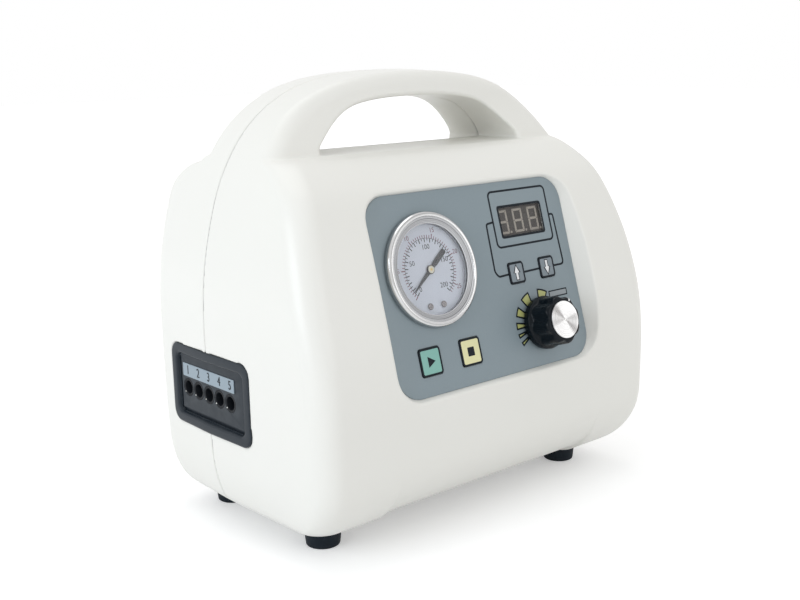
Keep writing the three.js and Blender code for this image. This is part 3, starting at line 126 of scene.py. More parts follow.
# Outlines and rings of points
def roundedOutline(width, height, radius, steps=8, x=0, y=0):
    points = []
    right, top = width / 2 - radius, height / 2 - radius
    corners = ((right, top, 0), (-right, top, 90), (-right, -top, 180), (right, -top, 270))
    for centreX, centreY, start in corners:
        for i in range(steps + 1):
            angle = math.radians(start + 90 * i / steps)
            points.append((x + centreX + radius * math.cos(angle), y + centreY + radius * math.sin(angle)))
    return points


def circle(radius, steps, x=0, y=0):
    return [(x + radius * math.cos(2 * math.pi * i / steps), y + radius * math.sin(2 * math.pi * i / steps))
            for i in range(steps)]


def box(left, right, low, high):
    return [(left, low), (right, low), (right, high), (left, high)]


def atLevel(outline, level):
    return [(x, y, level) for x, y in outline]


def mirrored(outline):
    return [(-x, y) for x, y in reversed(outline)]


def quarter(steps):
    # Shares of a rounding, from its start on the side to its end on the top
    return [(1 - math.cos(i / steps * math.pi / 2), math.sin(i / steps * math.pi / 2))
            for i in range(steps + 1)]


def roundedPath(points, radius, steps=5):
    # A bent line whose inner corners are rounded
    path = [points[0]]
    for before, corner, after in zip(points, points[1:], points[2:]):
        at = Vector(corner)
        start = at + (Vector(before) - at).normalized() * radius
        end = at + (Vector(after) - at).normalized() * radius
        for i in range(steps + 1):
            t = i / steps
            spot = start * (1 - t) ** 2 + at * 2 * t * (1 - t) + end * t ** 2
            path.append((spot.x, spot.y))
    return path + [points[-1]]


# A form is a pair of points and faces, and build turns forms into one object
def loftForm(rings, cyclic=False):
    count = len(rings[0])
    points = [tuple(p) for ring in rings for p in ring]
    faces = []
    for ring in range(len(rings) if cyclic else len(rings) - 1):
        for i in range(count):
            a, b = ring * count + i, ring * count + (i + 1) % count
            faces.append((a, b, (b + count) % len(points), (a + count) % len(points)))
    if not cyclic:
        for ring, start in ((rings[0], 0), (rings[-1], (len(rings) - 1) * count)):
            points.append(tuple(sum(p[axis] for p in ring) / count for axis in range(3)))
            middle = len(points) - 1
            faces += [(middle, start + (i + 1) % count, start + i) for i in range(count)]
    return points, faces


def prismForm(outline, low, high):
    count = len(outline)
    points = atLevel(outline, low) + atLevel(outline, high)
    faces = [tuple(range(count)), tuple(range(count, 2 * count))]
    faces += [(i, (i + 1) % count, (i + 1) % count + count, i + count) for i in range(count)]
    return points, faces


def blockForm(low, high):
    return prismForm(box(low[0], high[0], low[1], high[1]), low[2], high[2])


def bandForm(outer, inner, low, high):
    corners = ((outer, low), (outer, high), (inner, high), (inner, low))
    return loftForm([atLevel(outline, level) for outline, level in corners], cyclic=True)


def slabForm(width, height, radius, low, high, edge, x=0, y=0, steps=8):
    # A flat block with rounded corners and a rounded top edge
    rings = []
    for inset, level in [(0, low)] + [(edge * a, high - edge + edge * b) for a, b in quarter(4)]:
        corner = max(radius - inset, edge / 4)
        rings.append(atLevel(roundedOutline(width - 2 * inset, height - 2 * inset, corner, steps, x, y),
                             level))
    return loftForm(rings)


def turnedForm(profile, steps=96, x=0, y=0, cyclic=False):
    # A turned solid from its radii and levels, or a turned ring where the profile is cyclic
    return loftForm([atLevel(circle(radius, steps, x, y), level) for radius, level in profile], cyclic)


def strokeForm(path, width, low, high):
    # A flat line of even width along a path
    left, right = [], []
    for i, point in enumerate(path):
        before, after = Vector(path[max(i - 1, 0)]), Vector(path[min(i + 1, len(path) - 1)])
        along = (after - before).normalized()
        side = Vector((-along.y, along.x)) * width / 2
        left.append((point[0] + side.x, point[1] + side.y))
        right.append((point[0] - side.x, point[1] - side.y))
    return prismForm(left + right[::-1], low, high)


def stripForm(rows):
    # Rows of equal count that close round on themselves, with flat sides
    count, total = len(rows[0]), len(rows)
    points = [p for row in rows for p in row]
    faces = []
    for r in range(total):
        a, b = r * count, (r + 1) % total * count
        faces += [(a + i, a + i + 1, b + i + 1, b + i) for i in range(count - 1)]
    faces.append(tuple(r * count for r in range(total)))
    faces.append(tuple(r * count + count - 1 for r in reversed(range(total))))
    return points, faces


def textForm(text, size, x, y, low, high):
    # Figures from the built-in font, as solid print
    curve = bpy.data.curves.new("figure", "FONT")
    curve.body = text
    curve.size = size
    curve.align_x = "CENTER"
    curve.align_y = "CENTER"
    curve.extrude = (high - low) / 2
    curve.resolution_u = 3
    holder = addToScene("figure", curve)
    mesh = bpy.data.meshes.new_from_object(holder.evaluated_get(bpy.context.evaluated_depsgraph_get()))
    points = [(v.co.x + x, v.co.y + y, v.co.z + (low + high) / 2) for v in mesh.vertices]
    faces = [tuple(f.vertices) for f in mesh.polygons]
    bpy.data.objects.remove(holder)
    bpy.data.curves.remove(curve)
    bpy.data.meshes.remove(mesh)
    return points, faces


def build(name, forms, place=world, sharp=35):
    work = bmesh.new()
    for points, faces in forms:
        made = [work.verts.new(place(*p)) for p in points]
        part = [work.faces.new([made[i] for i in face]) for face in faces if len(set(face)) > 2]
        bmesh.ops.remove_doubles(work, verts=made, dist=1e-7)
        bmesh.ops.recalc_face_normals(work, faces=[f for f in part if f.is_valid])
    mesh = bpy.data.meshes.new(name)
    work.to_mesh(mesh)
    work.free()
    return crease(addToScene(name, mesh), sharp)


def crease(piece, degrees):
    # Smooth shading that breaks where two faces meet at more than this angle
    work = bmesh.new()
    work.from_mesh(piece.data)
    for edge in work.edges:
        edge.smooth = len(edge.link_faces) == 2 and edge.calc_face_angle(math.pi) < math.radians(degrees)
    for face in work.faces:
        face.smooth = True
    work.to_mesh(piece.data)
    work.free()
    return piece


def loft(name, rings, place=world):
    return build(name, [loftForm(rings)], place)


def bake(piece):
    graph = bpy.context.evaluated_depsgraph_get()
    mesh = bpy.data.meshes.new_from_object(piece.evaluated_get(graph))
    piece.modifiers.clear()
    old = piece.data
    piece.data = mesh
    bpy.data.meshes.remove(old)
    return piece


def combine(base, tool, operation="DIFFERENCE"):
    modifier = base.modifiers.new(operation, "BOOLEAN")
    modifier.operation = operation
    modifier.solver = "MANIFOLD"
    modifier.object = tool
    bake(base)
    bpy.data.objects.remove(tool)
    return base


def cut(base, outline, low, high, place):
    return combine(base, build("cut", [prismForm(outline, low, high)], place))


# Shader groups: each gives colours, masks and heights only
def feed(tree, value, socket):
    # A plain value is set on the socket, and an output is linked to it
    if isinstance(value, (int, float, tuple)):
        socket.default_value = value
    else:
        tree.links.new(value, socket)


def newGroup(name, inputs, outputs):
    tree = bpy.data.node_groups.new(name, "ShaderNodeTree")
    for label, value in inputs.items():
        kind = "NodeSocketColor" if isinstance(value, tuple) else "NodeSocketFloat"
        tree.interface.new_socket(label, in_out="INPUT", socket_type=kind).default_value = value
    for label in outputs:
        kind = "NodeSocketColor" if label == "Color" else "NodeSocketFloat"
        tree.interface.new_socket(label, in_out="OUTPUT", socket_type=kind)
    return tree, tree.nodes.new("NodeGroupInput").outputs, tree.nodes.new("NodeGroupOutput").inputs


def addMath(tree, operation, first, second=0.0, clamp=False):
    node = tree.nodes.new("ShaderNodeMath")
    node.operation = operation
    node.use_clamp = clamp
    feed(tree, first, node.inputs[0])
    feed(tree, second, node.inputs[1])
    return node.outputs[0]


def addNoise(tree, vector, scale, detail):
    node = tree.nodes.new("ShaderNodeTexNoise")
    for label, value in (("Vector", vector), ("Scale", scale), ("Detail", detail)):
        feed(tree, value, node.inputs[label])
    return node.outputs["Fac"]


def addRange(tree, value, low, high, start=0.0, end=1.0):
    node = tree.nodes.new("ShaderNodeMapRange")
    labels = ("Value", "From Min", "From Max", "To Min", "To Max")
    for label, amount in zip(labels, (value, low, high, start, end)):
        feed(tree, amount, node.inputs[label])
    return node.outputs["Result"]


def addMix(tree, mask, first, second):
    node = tree.nodes.new("ShaderNodeMix")
    node.data_type = "RGBA"
    for socket, value in ((node.inputs["Factor"], mask), (node.inputs[6], first), (node.inputs[7], second)):
        feed(tree, value, socket)
    return node.outputs[2]


def objectPlace(tree):
    return tree.nodes.new("ShaderNodeTexCoord").outputs["Object"]


def objectAxes(tree):
    split = tree.nodes.new("ShaderNodeSeparateXYZ")
    tree.links.new(objectPlace(tree), split.inputs[0])
    return split.outputs


def makeMouldedGroup():
    # Slow colour drift, fine specks and a roughness that drifts with them
    tree, given, result = newGroup("moulded tone", {
        "Color": (0.8, 0.8, 0.8, 1), "Tint": (0.7, 0.7, 0.65, 1), "Drift": 0.2, "Drift Scale": 12.0,
        "Speck": 0.03, "Speck Scale": 900.0, "Roughness": 0.4, "Roughness Drift": 0.08,
    }, ("Color", "Roughness"))
    place = objectPlace(tree)
    slow = addNoise(tree, place, given["Drift Scale"], 4.0)
    fine = addNoise(tree, place, given["Speck Scale"], 2.0)
    drift = addMath(tree, "MULTIPLY", addRange(tree, slow, 0.35, 0.7), given["Drift"])
    speck = addMath(tree, "MULTIPLY", addRange(tree, fine, 0.5, 0.75), given["Speck"])
    mask = addMath(tree, "ADD", drift, speck, True)
    feed(tree, addMix(tree, mask, given["Color"], given["Tint"]), result["Color"])
    swing = addMath(tree, "MULTIPLY", addRange(tree, slow, 0.3, 0.7, -0.5, 0.5), given["Roughness Drift"])
    feed(tree, addMath(tree, "ADD", swing, given["Roughness"], True), result["Roughness"])
    return tree


def makeWearGroup():
    # Edges that hands have rubbed, and painted shade that darkens concave corners and creases
    tree, given, result = newGroup("edge wear and painted shade", {
        "Color": (0.8, 0.8, 0.8, 1), "Worn Color": (0.9, 0.9, 0.9, 1), "Painted Shade Color": (0.4, 0.38, 0.33, 1),
        "Wear": 0.3, "Painted Shade": 0.2,
    }, ("Color",))
    bend = tree.nodes.new("ShaderNodeNewGeometry").outputs["Pointiness"]
    broken = addRange(tree, addNoise(tree, objectPlace(tree), 160.0, 4.0), 0.35, 0.65)
    edge = addMath(tree, "MULTIPLY", addRange(tree, bend, 0.51, 0.6), broken)
    wear = addMath(tree, "MULTIPLY", edge, given["Wear"], True)
    # Painted shade: concave corners and creases turn darker
    grime = addMath(tree, "MULTIPLY", addRange(tree, bend, 0.49, 0.4), given["Painted Shade"], True)
    worn = addMix(tree, wear, given["Color"], given["Worn Color"])
    feed(tree, addMix(tree, grime, worn, given["Painted Shade Color"]), result["Color"])
    return tree


def makeGrainGroup():
    # Height of a fine spark-eroded mould texture with a long slow wave under it
    tree, given, result = newGroup("mould grain", {"Grain Scale": 1600.0, "Wave Scale": 25.0, "Wave": 0.2},
                                   ("Height",))
    place = objectPlace(tree)
    grain = addNoise(tree, place, given["Grain Scale"], 2.0)
    wave = addMath(tree, "MULTIPLY", addNoise(tree, place, given["Wave Scale"], 1.0), given["Wave"])
    feed(tree, addMath(tree, "ADD", grain, wave), result["Height"])
    return tree


def makeBrushGroup():
    # Concentric tool marks round the local Z axis
    tree, given, result = newGroup("turned marks", {"Ring Scale": 2600.0, "Roughness": 0.25, "Spread": 0.12},
                                   ("Height", "Roughness"))
    across, along, _ = objectAxes(tree)
    squares = [addMath(tree, "MULTIPLY", reach, reach) for reach in (across, along)]
    radius = addMath(tree, "SQRT", addMath(tree, "ADD", *squares))
    line = tree.nodes.new("ShaderNodeTexNoise")
    line.noise_dimensions = "1D"
    line.inputs["Detail"].default_value = 2.0
    line.inputs["Scale"].default_value = 1.0
    feed(tree, addMath(tree, "MULTIPLY", radius, given["Ring Scale"]), line.inputs["W"])
    feed(tree, line.outputs["Fac"], result["Height"])
    swing = addMath(tree, "MULTIPLY", addRange(tree, line.outputs["Fac"], 0.3, 0.7, -0.5, 0.5),
                    given["Spread"])
    feed(tree, addMath(tree, "ADD", swing, given["Roughness"], True), result["Roughness"])
    return tree


def makeFanGroup():
    # Painted reflection: pale and dark wedges round the local Z axis, put into the colour where spun metal
    # shows its highlights
    tree, given, result = newGroup("painted sheen fan", {"Amount": 1.0}, ("Mask",))
    across, along, _ = objectAxes(tree)
    angle = addMath(tree, "ARCTAN2", along, across)
    waves = [addMath(tree, "SINE", addMath(tree, "ADD", addMath(tree, "MULTIPLY", angle, turns), lead))
             for turns, lead in ((2.0, 2.6), (6.0, 0.7))]
    both = addMath(tree, "ADD", waves[0], addMath(tree, "MULTIPLY", waves[1], 0.45))
    feed(tree, addMath(tree, "MULTIPLY", addRange(tree, both, 0.1, 1.3), given["Amount"], True),
         result["Mask"])
    return tree


mouldedGroup = makeMouldedGroup()
paintedSheenGroup = makeFanGroup()
wearAndShadeGroup = makeWearGroup()
grainGroup = makeGrainGroup()
brushGroup = makeBrushGroup()


def placeGroup(tree, group, values):
    node = tree.nodes.new("ShaderNodeGroup")
    node.node_tree = group
    for label, value in values.items():
        feed(tree, value, node.inputs[label])
    return node.outputs


def opaque(colour):
    return (*colour[:3], 1)


def shaded(colour, share, lift=0.0):
    return opaque([min(part * share + lift, 1) for part in colour[:3]])


shaderSockets = {
    "metallic": "Metallic", "transmission": "Transmission Weight", "alpha": "Alpha", "ior": "IOR",
    "anisotropic": "Anisotropic", "specular": "Specular IOR Level",
}


def makeFinish(name, look):
    # One material from its settings: tone, wear with painted shade in creases, painted reflection wedges
    # where set, grain, and plain values on the shader's own sockets
    material = bpy.data.materials.new(name)
    material.use_nodes = True
    tree = material.node_tree
    shader = tree.nodes["Principled BSDF"].inputs
    colour = opaque(look["colour"])
    tone = placeGroup(tree, mouldedGroup, {
        "Color": colour, "Tint": opaque(look.get("tint", shaded(colour, 0.8))),
        "Drift": look.get("drift", 0.25), "Drift Scale": look.get("driftScale", 14.0),
        "Speck": look.get("speck", 0.15), "Speck Scale": look.get("speckScale", 900.0),
        "Roughness": look["roughness"], "Roughness Drift": look.get("roughnessDrift", 0.1),
    })
    base = tone["Color"]
    # Rubbed edges, and painted shade that darkens concave corners and creases
    if "wear" in look or "grime" in look:
        base = placeGroup(tree, wearAndShadeGroup, {
            "Color": base, "Worn Color": opaque(look.get("worn", shaded(colour, 1.3, 0.02))),
            "Painted Shade Color": opaque(look.get("grimeColour", shaded(colour, 0.55))),
            "Wear": look.get("wear", 0.0), "Painted Shade": look.get("grime", 0.0),
        })["Color"]
    # Painted reflection: pale and dark wedges round the axis, mixed into the colour
    if "sectors" in look:
        base = addMix(tree, placeGroup(tree, paintedSheenGroup, {})["Mask"], base, opaque(look["sectors"]))
    if "turned" in look:
        marks = placeGroup(tree, brushGroup, {"Roughness": look["roughness"], "Ring Scale": look["turned"]})
        height, roughness = marks["Height"], marks["Roughness"]
        if "bands" in look:
            base = addMix(tree, addRange(tree, height, 0.46, 0.66), base, shaded(colour, 1 - look["bands"]))
    else:
        grain = {"Grain Scale": look.get("grainScale", 1600.0), "Wave": look.get("wave", 0.3)}
        height, roughness = placeGroup(tree, grainGroup, grain)["Height"], tone["Roughness"]
    bump = tree.nodes.new("ShaderNodeBump")
    for label, value in (("Strength", look["bump"]), ("Distance", look["depth"] * mm), ("Height", height)):
        feed(tree, value, bump.inputs[label])
    for label, value in (("Base Color", base), ("Roughness", roughness), ("Normal", bump.outputs["Normal"])):
        feed(tree, value, shader[label])
    for key, label in shaderSockets.items():
        if key in look:
            shader[label].default_value = look[key]
    if "shadow" in look:
        # Clear glass lets the lamps through to what lies under it
        rays = tree.nodes.new("ShaderNodeLightPath")
        feed(tree, addRange(tree, rays.outputs["Is Shadow Ray"], 0.0, 1.0, 1.0, look["shadow"]),
             shader["Alpha"])
    if "anisotropic" in look:
        tangent = tree.nodes.new("ShaderNodeTangent")
        tangent.direction_type = "RADIAL"
        tangent.axis = "Z"
        feed(tree, tangent.outputs[0], shader["Tangent"])
    return material


def finish(colour, roughness, bump=0.15, depth=0.05, **more):
    return {"colour": colour, "roughness": roughness, "bump": bump, "depth": depth, **more}


# Finishes, one for each slot of the record, then the printed inks and a few parts that share a slot
# Several finishes below darken their concave corners and creases with painted shade
finishes = {
    "shell_ivory": finish((0.82, 0.815, 0.775), 0.34, 0.12, 0.04, tint=(0.775, 0.77, 0.715), drift=0.35,
                          driftScale=5.0, speck=0.1, grainScale=1500.0, wear=0.15, grime=0.12,
                          grimeColour=(0.55, 0.55, 0.5), worn=(0.9, 0.9, 0.89)),
    "panel_grey": finish((0.22, 0.275, 0.305), 0.42, 0.2, 0.02, tint=(0.25, 0.3, 0.325), drift=0.5,
                         driftScale=9.0, grainScale=3200.0, speck=0.25),
    "window_smoke": finish((0.09, 0.085, 0.08), 0.12, 0.02, 0.01, roughnessDrift=0.04, alpha=0.2),
    "led_dark": finish((0.115, 0.106, 0.1), 0.45, 0.2, 0.02, speck=0.2),
    "board_green": finish((0.03, 0.12, 0.05), 0.35, 0.3, tint=(0.08, 0.2, 0.08), drift=0.6,
                          driftScale=160.0, speck=0.5, speckScale=500.0, wear=0.6, worn=(0.5, 0.5, 0.45)),
    "key_grey": finish((0.2, 0.24, 0.27), 0.38, 0.2, 0.02, grainScale=3200.0),
    "key_green": finish((0.22, 0.47, 0.41), 0.38, 0.2, 0.02, grainScale=3200.0),
    "key_yellow": finish((0.76, 0.74, 0.42), 0.38, 0.2, 0.02, grainScale=3200.0),
    "gauge_black": finish((0.03, 0.03, 0.034), 0.4, 0.2, metallic=0.3, wear=0.5),
    "bezel_chrome": finish((0.66, 0.66, 0.66), 0.16, 0.05, 0.03, tint=(0.5, 0.5, 0.51), metallic=1.0,
                           bands=0.35, turned=900.0, speck=0.1),
    "lens_clear": finish((0.98, 0.99, 1.0), 0.01, 0.005, 0.01, tint=(0.95, 0.97, 1.0), roughnessDrift=0.01,
                         transmission=1.0, ior=1.45, shadow=0.06),
    "dial_white": finish((0.575, 0.6, 0.66), 0.5, 0.1, 0.02, tint=(0.52, 0.545, 0.61)),
    "brass_works": finish((0.62, 0.46, 0.2), 0.3, metallic=1.0, turned=1800.0),
    "small_steel": finish((0.56, 0.56, 0.54), 0.28, metallic=1.0, turned=2400.0, grime=0.5),
    "needle_black": finish((0.025, 0.026, 0.03), 0.35, 0.1, 0.01),
    "knob_black": finish((0.003, 0.006, 0.009), 0.13, 0.06, 0.03, tint=(0.006, 0.01, 0.014), wear=0.1,
                         worn=(0.03, 0.035, 0.04), specular=0.14),
    # The disc's spun look carries a painted reflection: dark wedges mixed into its colour
    "knob_silver": finish((0.96, 0.95, 0.945), 0.26, 0.12, 0.02, tint=(0.92, 0.91, 0.9), metallic=0.55,
                          speck=0.05, sectors=(0.42, 0.405, 0.4), anisotropic=0.85, turned=3800.0),
    "regulator_metal": finish((0.5, 0.52, 0.54), 0.38, 0.2, metallic=0.9, turned=1500.0),
    "socket_black": finish((0.012, 0.019, 0.027), 0.36, 0.25, 0.04, tint=(0.02, 0.028, 0.037),
                           specular=0.25, wear=0.3, worn=(0.1, 0.11, 0.12), grainScale=1800.0),
    "label_blue": finish((0.27, 0.335, 0.385), 0.4, 0.1, 0.01, tint=(0.32, 0.385, 0.44)),
    "hose_clear": finish((0.75, 0.77, 0.77), 0.25, 0.1, alpha=0.75, transmission=0.3),
    "valve_white": finish((0.72, 0.71, 0.66), 0.42, 0.2, grime=0.3),
    "motor_steel": finish((0.55, 0.56, 0.57), 0.34, 0.25, metallic=0.95, turned=700.0),
    "pump_dark": finish((0.045, 0.05, 0.056), 0.5, 0.35, wear=0.4, speck=0.3),
    "core_steel": finish((0.3, 0.31, 0.32), 0.45, 0.3, metallic=0.85, grime=0.4),
    "coil_copper": finish((0.42, 0.13, 0.05), 0.35, 0.4, tint=(0.55, 0.22, 0.1), drift=0.6, driftScale=300.0),
    "foot_rubber": finish((0.007, 0.012, 0.018), 0.6, 0.35, 0.06, tint=(0.02, 0.025, 0.03), specular=0.15,
                          wear=0.4, worn=(0.06, 0.06, 0.062), grainScale=1200.0),
    "mount_rubber": finish((0.03, 0.03, 0.03), 0.75, 0.4, wear=0.3),
    "inlet_black": finish((0.016, 0.016, 0.019), 0.3, 0.12, wear=0.25, worn=(0.08, 0.08, 0.08)),
    "rocker_black": finish((0.02, 0.02, 0.023), 0.22, 0.08, wear=0.25, worn=(0.08, 0.08, 0.08)),
    "ink_black": finish((0.006, 0.01, 0.015), 0.4, 0.2, 0.01, tint=(0.012, 0.017, 0.022), specular=0.15,
                        grainScale=3000.0),
    "ink_white": finish((0.82, 0.83, 0.84), 0.4, 0.15, 0.01, grainScale=3000.0),
    "ink_lime": finish((0.42, 0.44, 0.16), 0.4, 0.15, 0.01, tint=(0.5, 0.52, 0.22), drift=0.6,
                       driftScale=240.0),
    "ink_red": finish((0.15, 0.03, 0.06), 0.45, 0.1, 0.01),
    "ink_grey": finish((0.27, 0.3, 0.32), 0.4, 0.15, 0.01),
    "segment_pale": finish((0.72, 0.66, 0.58), 0.5, 0.1, 0.01, tint=(0.62, 0.57, 0.5)),
    "gauge_ring": finish((0.52, 0.525, 0.54), 0.28, 0.1, 0.03, tint=(0.44, 0.445, 0.46), metallic=0.6,
                         bands=0.7, turned=1400.0),
    "screw_dark": finish((0.24, 0.22, 0.22), 0.35, metallic=0.8, grime=0.5),
    "port_black": finish((0.006, 0.008, 0.011), 0.5, 0.2, specular=0.2),
    "seam_grey": finish((0.42, 0.42, 0.41), 0.6, 0.1),
    "cap_cream": finish((0.66, 0.62, 0.5), 0.35, 0.1, 0.01),
}
materials = {name: makeFinish(name, look) for name, look in finishes.items()}
print("finishes made:", len(materials))


def dress(piece, slotName, *stoodFor, body="housing", ink=None):
    # A piece takes its slot's own finish, or another that shares the slot
    piece.data.materials.clear()
    piece.data.materials.append(materials[ink or slotName])
    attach(piece, body)
    if stoodFor:
        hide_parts(*stoodFor)
    return piece


# Housing halves, rebuilt finely from the same profile tables as the solids
housing = {
    "width": 269.2, "height": 255.8, "front": 101.2, "rear": 60.8, "ground": 12, "saddle": 211.3, "wall": 3,
    "floor": 5, "frontCorner": 14, "rearCorner": 15, "frontDraft": 0.03, "rearDraft": 0.036, "seam": 0.15,
    "stations": 150, "cornerSteps": 14, "voxel": 0.8, "smooth": 3, "kept": 0.32, "beyond": 300,
}
handle = {
    "front": 39.5, "rear": 28, "rounding": 9, "root": 200, "steps": 70, "rounds": 12, "lean": 11.3,
    "leanLead": 3,
}
gap = {
    "halfWidth": 78, "top": 239.8, "topFlare": 1.0, "lip": (1.2, 1.8), "creaseSlope": 1.75, "rounding": 9,
    "rearFlare": 0.9, "drop": 4, "shares": 30, "coarseShares": 8, "behindReach": 1.9,
    "places": [-39.5, -39, -38.4, -37.6, -36.6, -35.4, -34, -32, -29, -26, -23, -20, -17, -14, -11, -8, -5,
               -2, 0, 19, 22, 25, 28],
}
relief = {
    "halfWidth": 81, "rise": 2.2, "top": 48, "back": 20, "steps": 40, "below": 4, "past": 6, "fade": 1.6,
}
recess = {"width": 153.4, "height": 110.8, "corner": 15, "flare": 0.66, "rise": 18, "base": -1.3, "floor": 3}

# Shares of the full height, then of the full width or depth there
sideShares = [
    (0, 0.832), (0.005, 0.8767), (0.0144, 0.9101), (0.0328, 0.9391), (0.0533, 0.9554), (0.0738, 0.9673),
    (0.0943, 0.977), (0.1231, 0.9859), (0.1641, 0.9918), (0.2379, 0.9955), (0.3404, 0.9985), (0.443, 1),
    (0.525, 0.9941), (0.607, 0.9733), (0.689, 0.9376), (0.7506, 0.9004), (0.7998, 0.8566), (0.8409, 0.8091),
    (0.8778, 0.7533), (0.9106, 0.6872), (0.9393, 0.6077), (0.9639, 0.5089), (0.9823, 0.3863),
    (0.9938, 0.2377), (0.9988, 0.104), (1, 0),
]
frontShares = [
    (0, 0.6047), (0.007, 0.7075), (0.0271, 0.8024), (0.0587, 0.8844), (0.1004, 0.9466), (0.1485, 0.9862),
    (0.2007, 1), (0.3412, 1), (0.4165, 0.994), (0.4917, 0.977), (0.5419, 0.9575), (0.5921, 0.931),
    (0.6422, 0.901), (0.6924, 0.8696), (0.7426, 0.834), (0.7928, 0.7945), (0.843, 0.751), (0.8831, 0.7095),
    (0.9132, 0.666), (0.9383, 0.6146), (0.9583, 0.563), (0.9759, 0.509), (0.991, 0.4526), (1, 0.395),
]
rearShares = [
    (0, 0.671), (0.0075, 0.797), (0.0296, 0.903), (0.0617, 0.975), (0.1004, 1), (0.8731, 1), (0.9032, 0.99),
    (0.9273, 0.951), (0.9513, 0.868), (0.9759, 0.732), (0.991, 0.625), (1, 0.526),
]
gapShares = [(0, 1), (0.16, 0.975), (0.37, 0.915), (0.58, 0.835), (0.76, 0.735), (0.87, 0.62), (0.94, 0.46),
             (0.985, 0.24), (1, 0)]
gapFlares = [(0, 2.5), (0.25, -0.5), (0.5, -2.5), (0.8, -4), (0.95, -3), (1, -1)]
trunkHeight = housing["saddle"] - housing["ground"]


def clamped(value, low=0, high=1):
    return min(max(value, low), high)


def alongTable(table, place):
    # A smooth curve through the table's points that never swings past them
    low = 0
    while low < len(table) - 2 and place > table[low + 1][0]:
        low += 1
    (startPlace, startValue), (endPlace, endValue) = table[low], table[low + 1]
    span = endPlace - startPlace
    straight = (endValue - startValue) / span

    def slopeAt(index):
        before, after = table[max(index - 1, 0)], table[min(index + 1, len(table) - 1)]
        slope = (after[1] - before[1]) / (after[0] - before[0])
        return 0 if slope * straight <= 0 else math.copysign(min(abs(slope), 3 * abs(straight)), straight)

    a, b = slopeAt(low) * span, slopeAt(low + 1) * span
    t = clamped((place - startPlace) / span)
    t2, t3 = t * t, t * t * t
    return ((2 * t3 - 3 * t2 + 1) * startValue + (t3 - 2 * t2 + t) * a + (3 * t2 - 2 * t3) * endValue
            + (t3 - t2) * b)


def halfWidthAt(z):
    share = (z - housing["ground"]) / (housing["height"] - housing["ground"])
    return housing["width"] / 2 * alongTable(sideShares, share)


def trunkRing(z, steps):
    share = (z - housing["ground"]) / trunkHeight
    side = halfWidthAt(z)
    halves = []
    for end, shares, way in (("front", frontShares, -1), ("rear", rearShares, 1)):
        reach, radius = housing[end] * alongTable(shares, share), housing[end + "Corner"]
        centre = side - housing[end + "Draft"] * (reach - radius) - radius
        points = []
        for i in range(steps + 1):
            angle = i / steps * math.pi / 2
            points.append((centre + radius * math.cos(angle),
                           way * (reach - radius + radius * math.sin(angle)), z))
        halves.append(points)
    right = halves[0][::-1] + [(side, 0, z)] + halves[1]
    return right + [(-x, y, z) for x, y, z in reversed(right)]


def trunk(name, steps, count, hollow=False):
    # Rings lie closer together near the underside and the shoulder, where the form turns fastest
    wall, depth, halfWide = housing["wall"], housing["front"] + housing["rear"], housing["width"] / 2
    middle = (housing["rear"] - housing["front"]) / 2
    bottom, top = housing["ground"] + housing["floor"], housing["saddle"] - wall - gap["drop"]
    rings = []
    for i in range(count + 1):
        t = i / count
        share = 0.35 * t + 0.65 * (0.5 - 0.5 * math.cos(math.pi * t))
        ring = trunkRing(housing["ground"] + share * trunkHeight, steps)
        if hollow:
            ring = [(x * (halfWide - wall) / halfWide,
                     middle + (y - middle) * (depth / 2 - wall) / (depth / 2),
                     bottom + (z - housing["ground"]) * (top - bottom) / trunkHeight) for x, y, z in ring]
        rings.append(ring)
    return loft(name, rings)


def leanAt(z):
    # The front of the handle leans back from its root to the top of the finger gap
    start = handle["root"] - handle["leanLead"]
    share = clamped((z - start) / (gap["top"] - start))
    return handle["lean"] * share * share * (3 - 2 * share)


def leanBack(rings):
    return [[(x, y + leanAt(z) * clamped(-y / handle["front"]), z) for x, y, z in ring] for ring in rings]


def handleOutline(inset, y, steps):
    away = inset + housing["frontDraft" if y < 0 else "rearDraft"] * abs(y)

    def at(t):
        z = handle["root"] + (housing["height"] - handle["root"]) * math.sin(t * math.pi / 2)
        return Vector((halfWidthAt(z), z))

    half = []
    for i in range(steps):
        t = i / steps
        tangent = (at(min(t + 0.01, 1)) - at(max(t - 0.01, 0))).normalized()
        half.append((at(t).x - away * tangent.y, at(t).y + away * tangent.x))
    return [(x, y, z) for x, z in half + [(0, housing["height"] - away)] + mirrored(half)]


def handleForm(name, inset, steps, rounds):
    radius = handle["rounding"] - inset
    angles = [i / rounds * math.pi / 2 for i in range(rounds, -1, -1)]
    rounding = [(radius * (1 - math.cos(angle)), radius * math.sin(angle)) for angle in angles]
    rearFlat, frontFlat = handle["rear"] - handle["rounding"], handle["front"] - handle["rounding"]
    rings = [handleOutline(inset + draw, rearFlat + reach, steps) for draw, reach in rounding]
    rings.append(handleOutline(inset, 0, steps))
    rings += [handleOutline(inset + draw, -frontFlat - reach, steps) for draw, reach in reversed(rounding)]
    return loft(name, leanBack(rings))


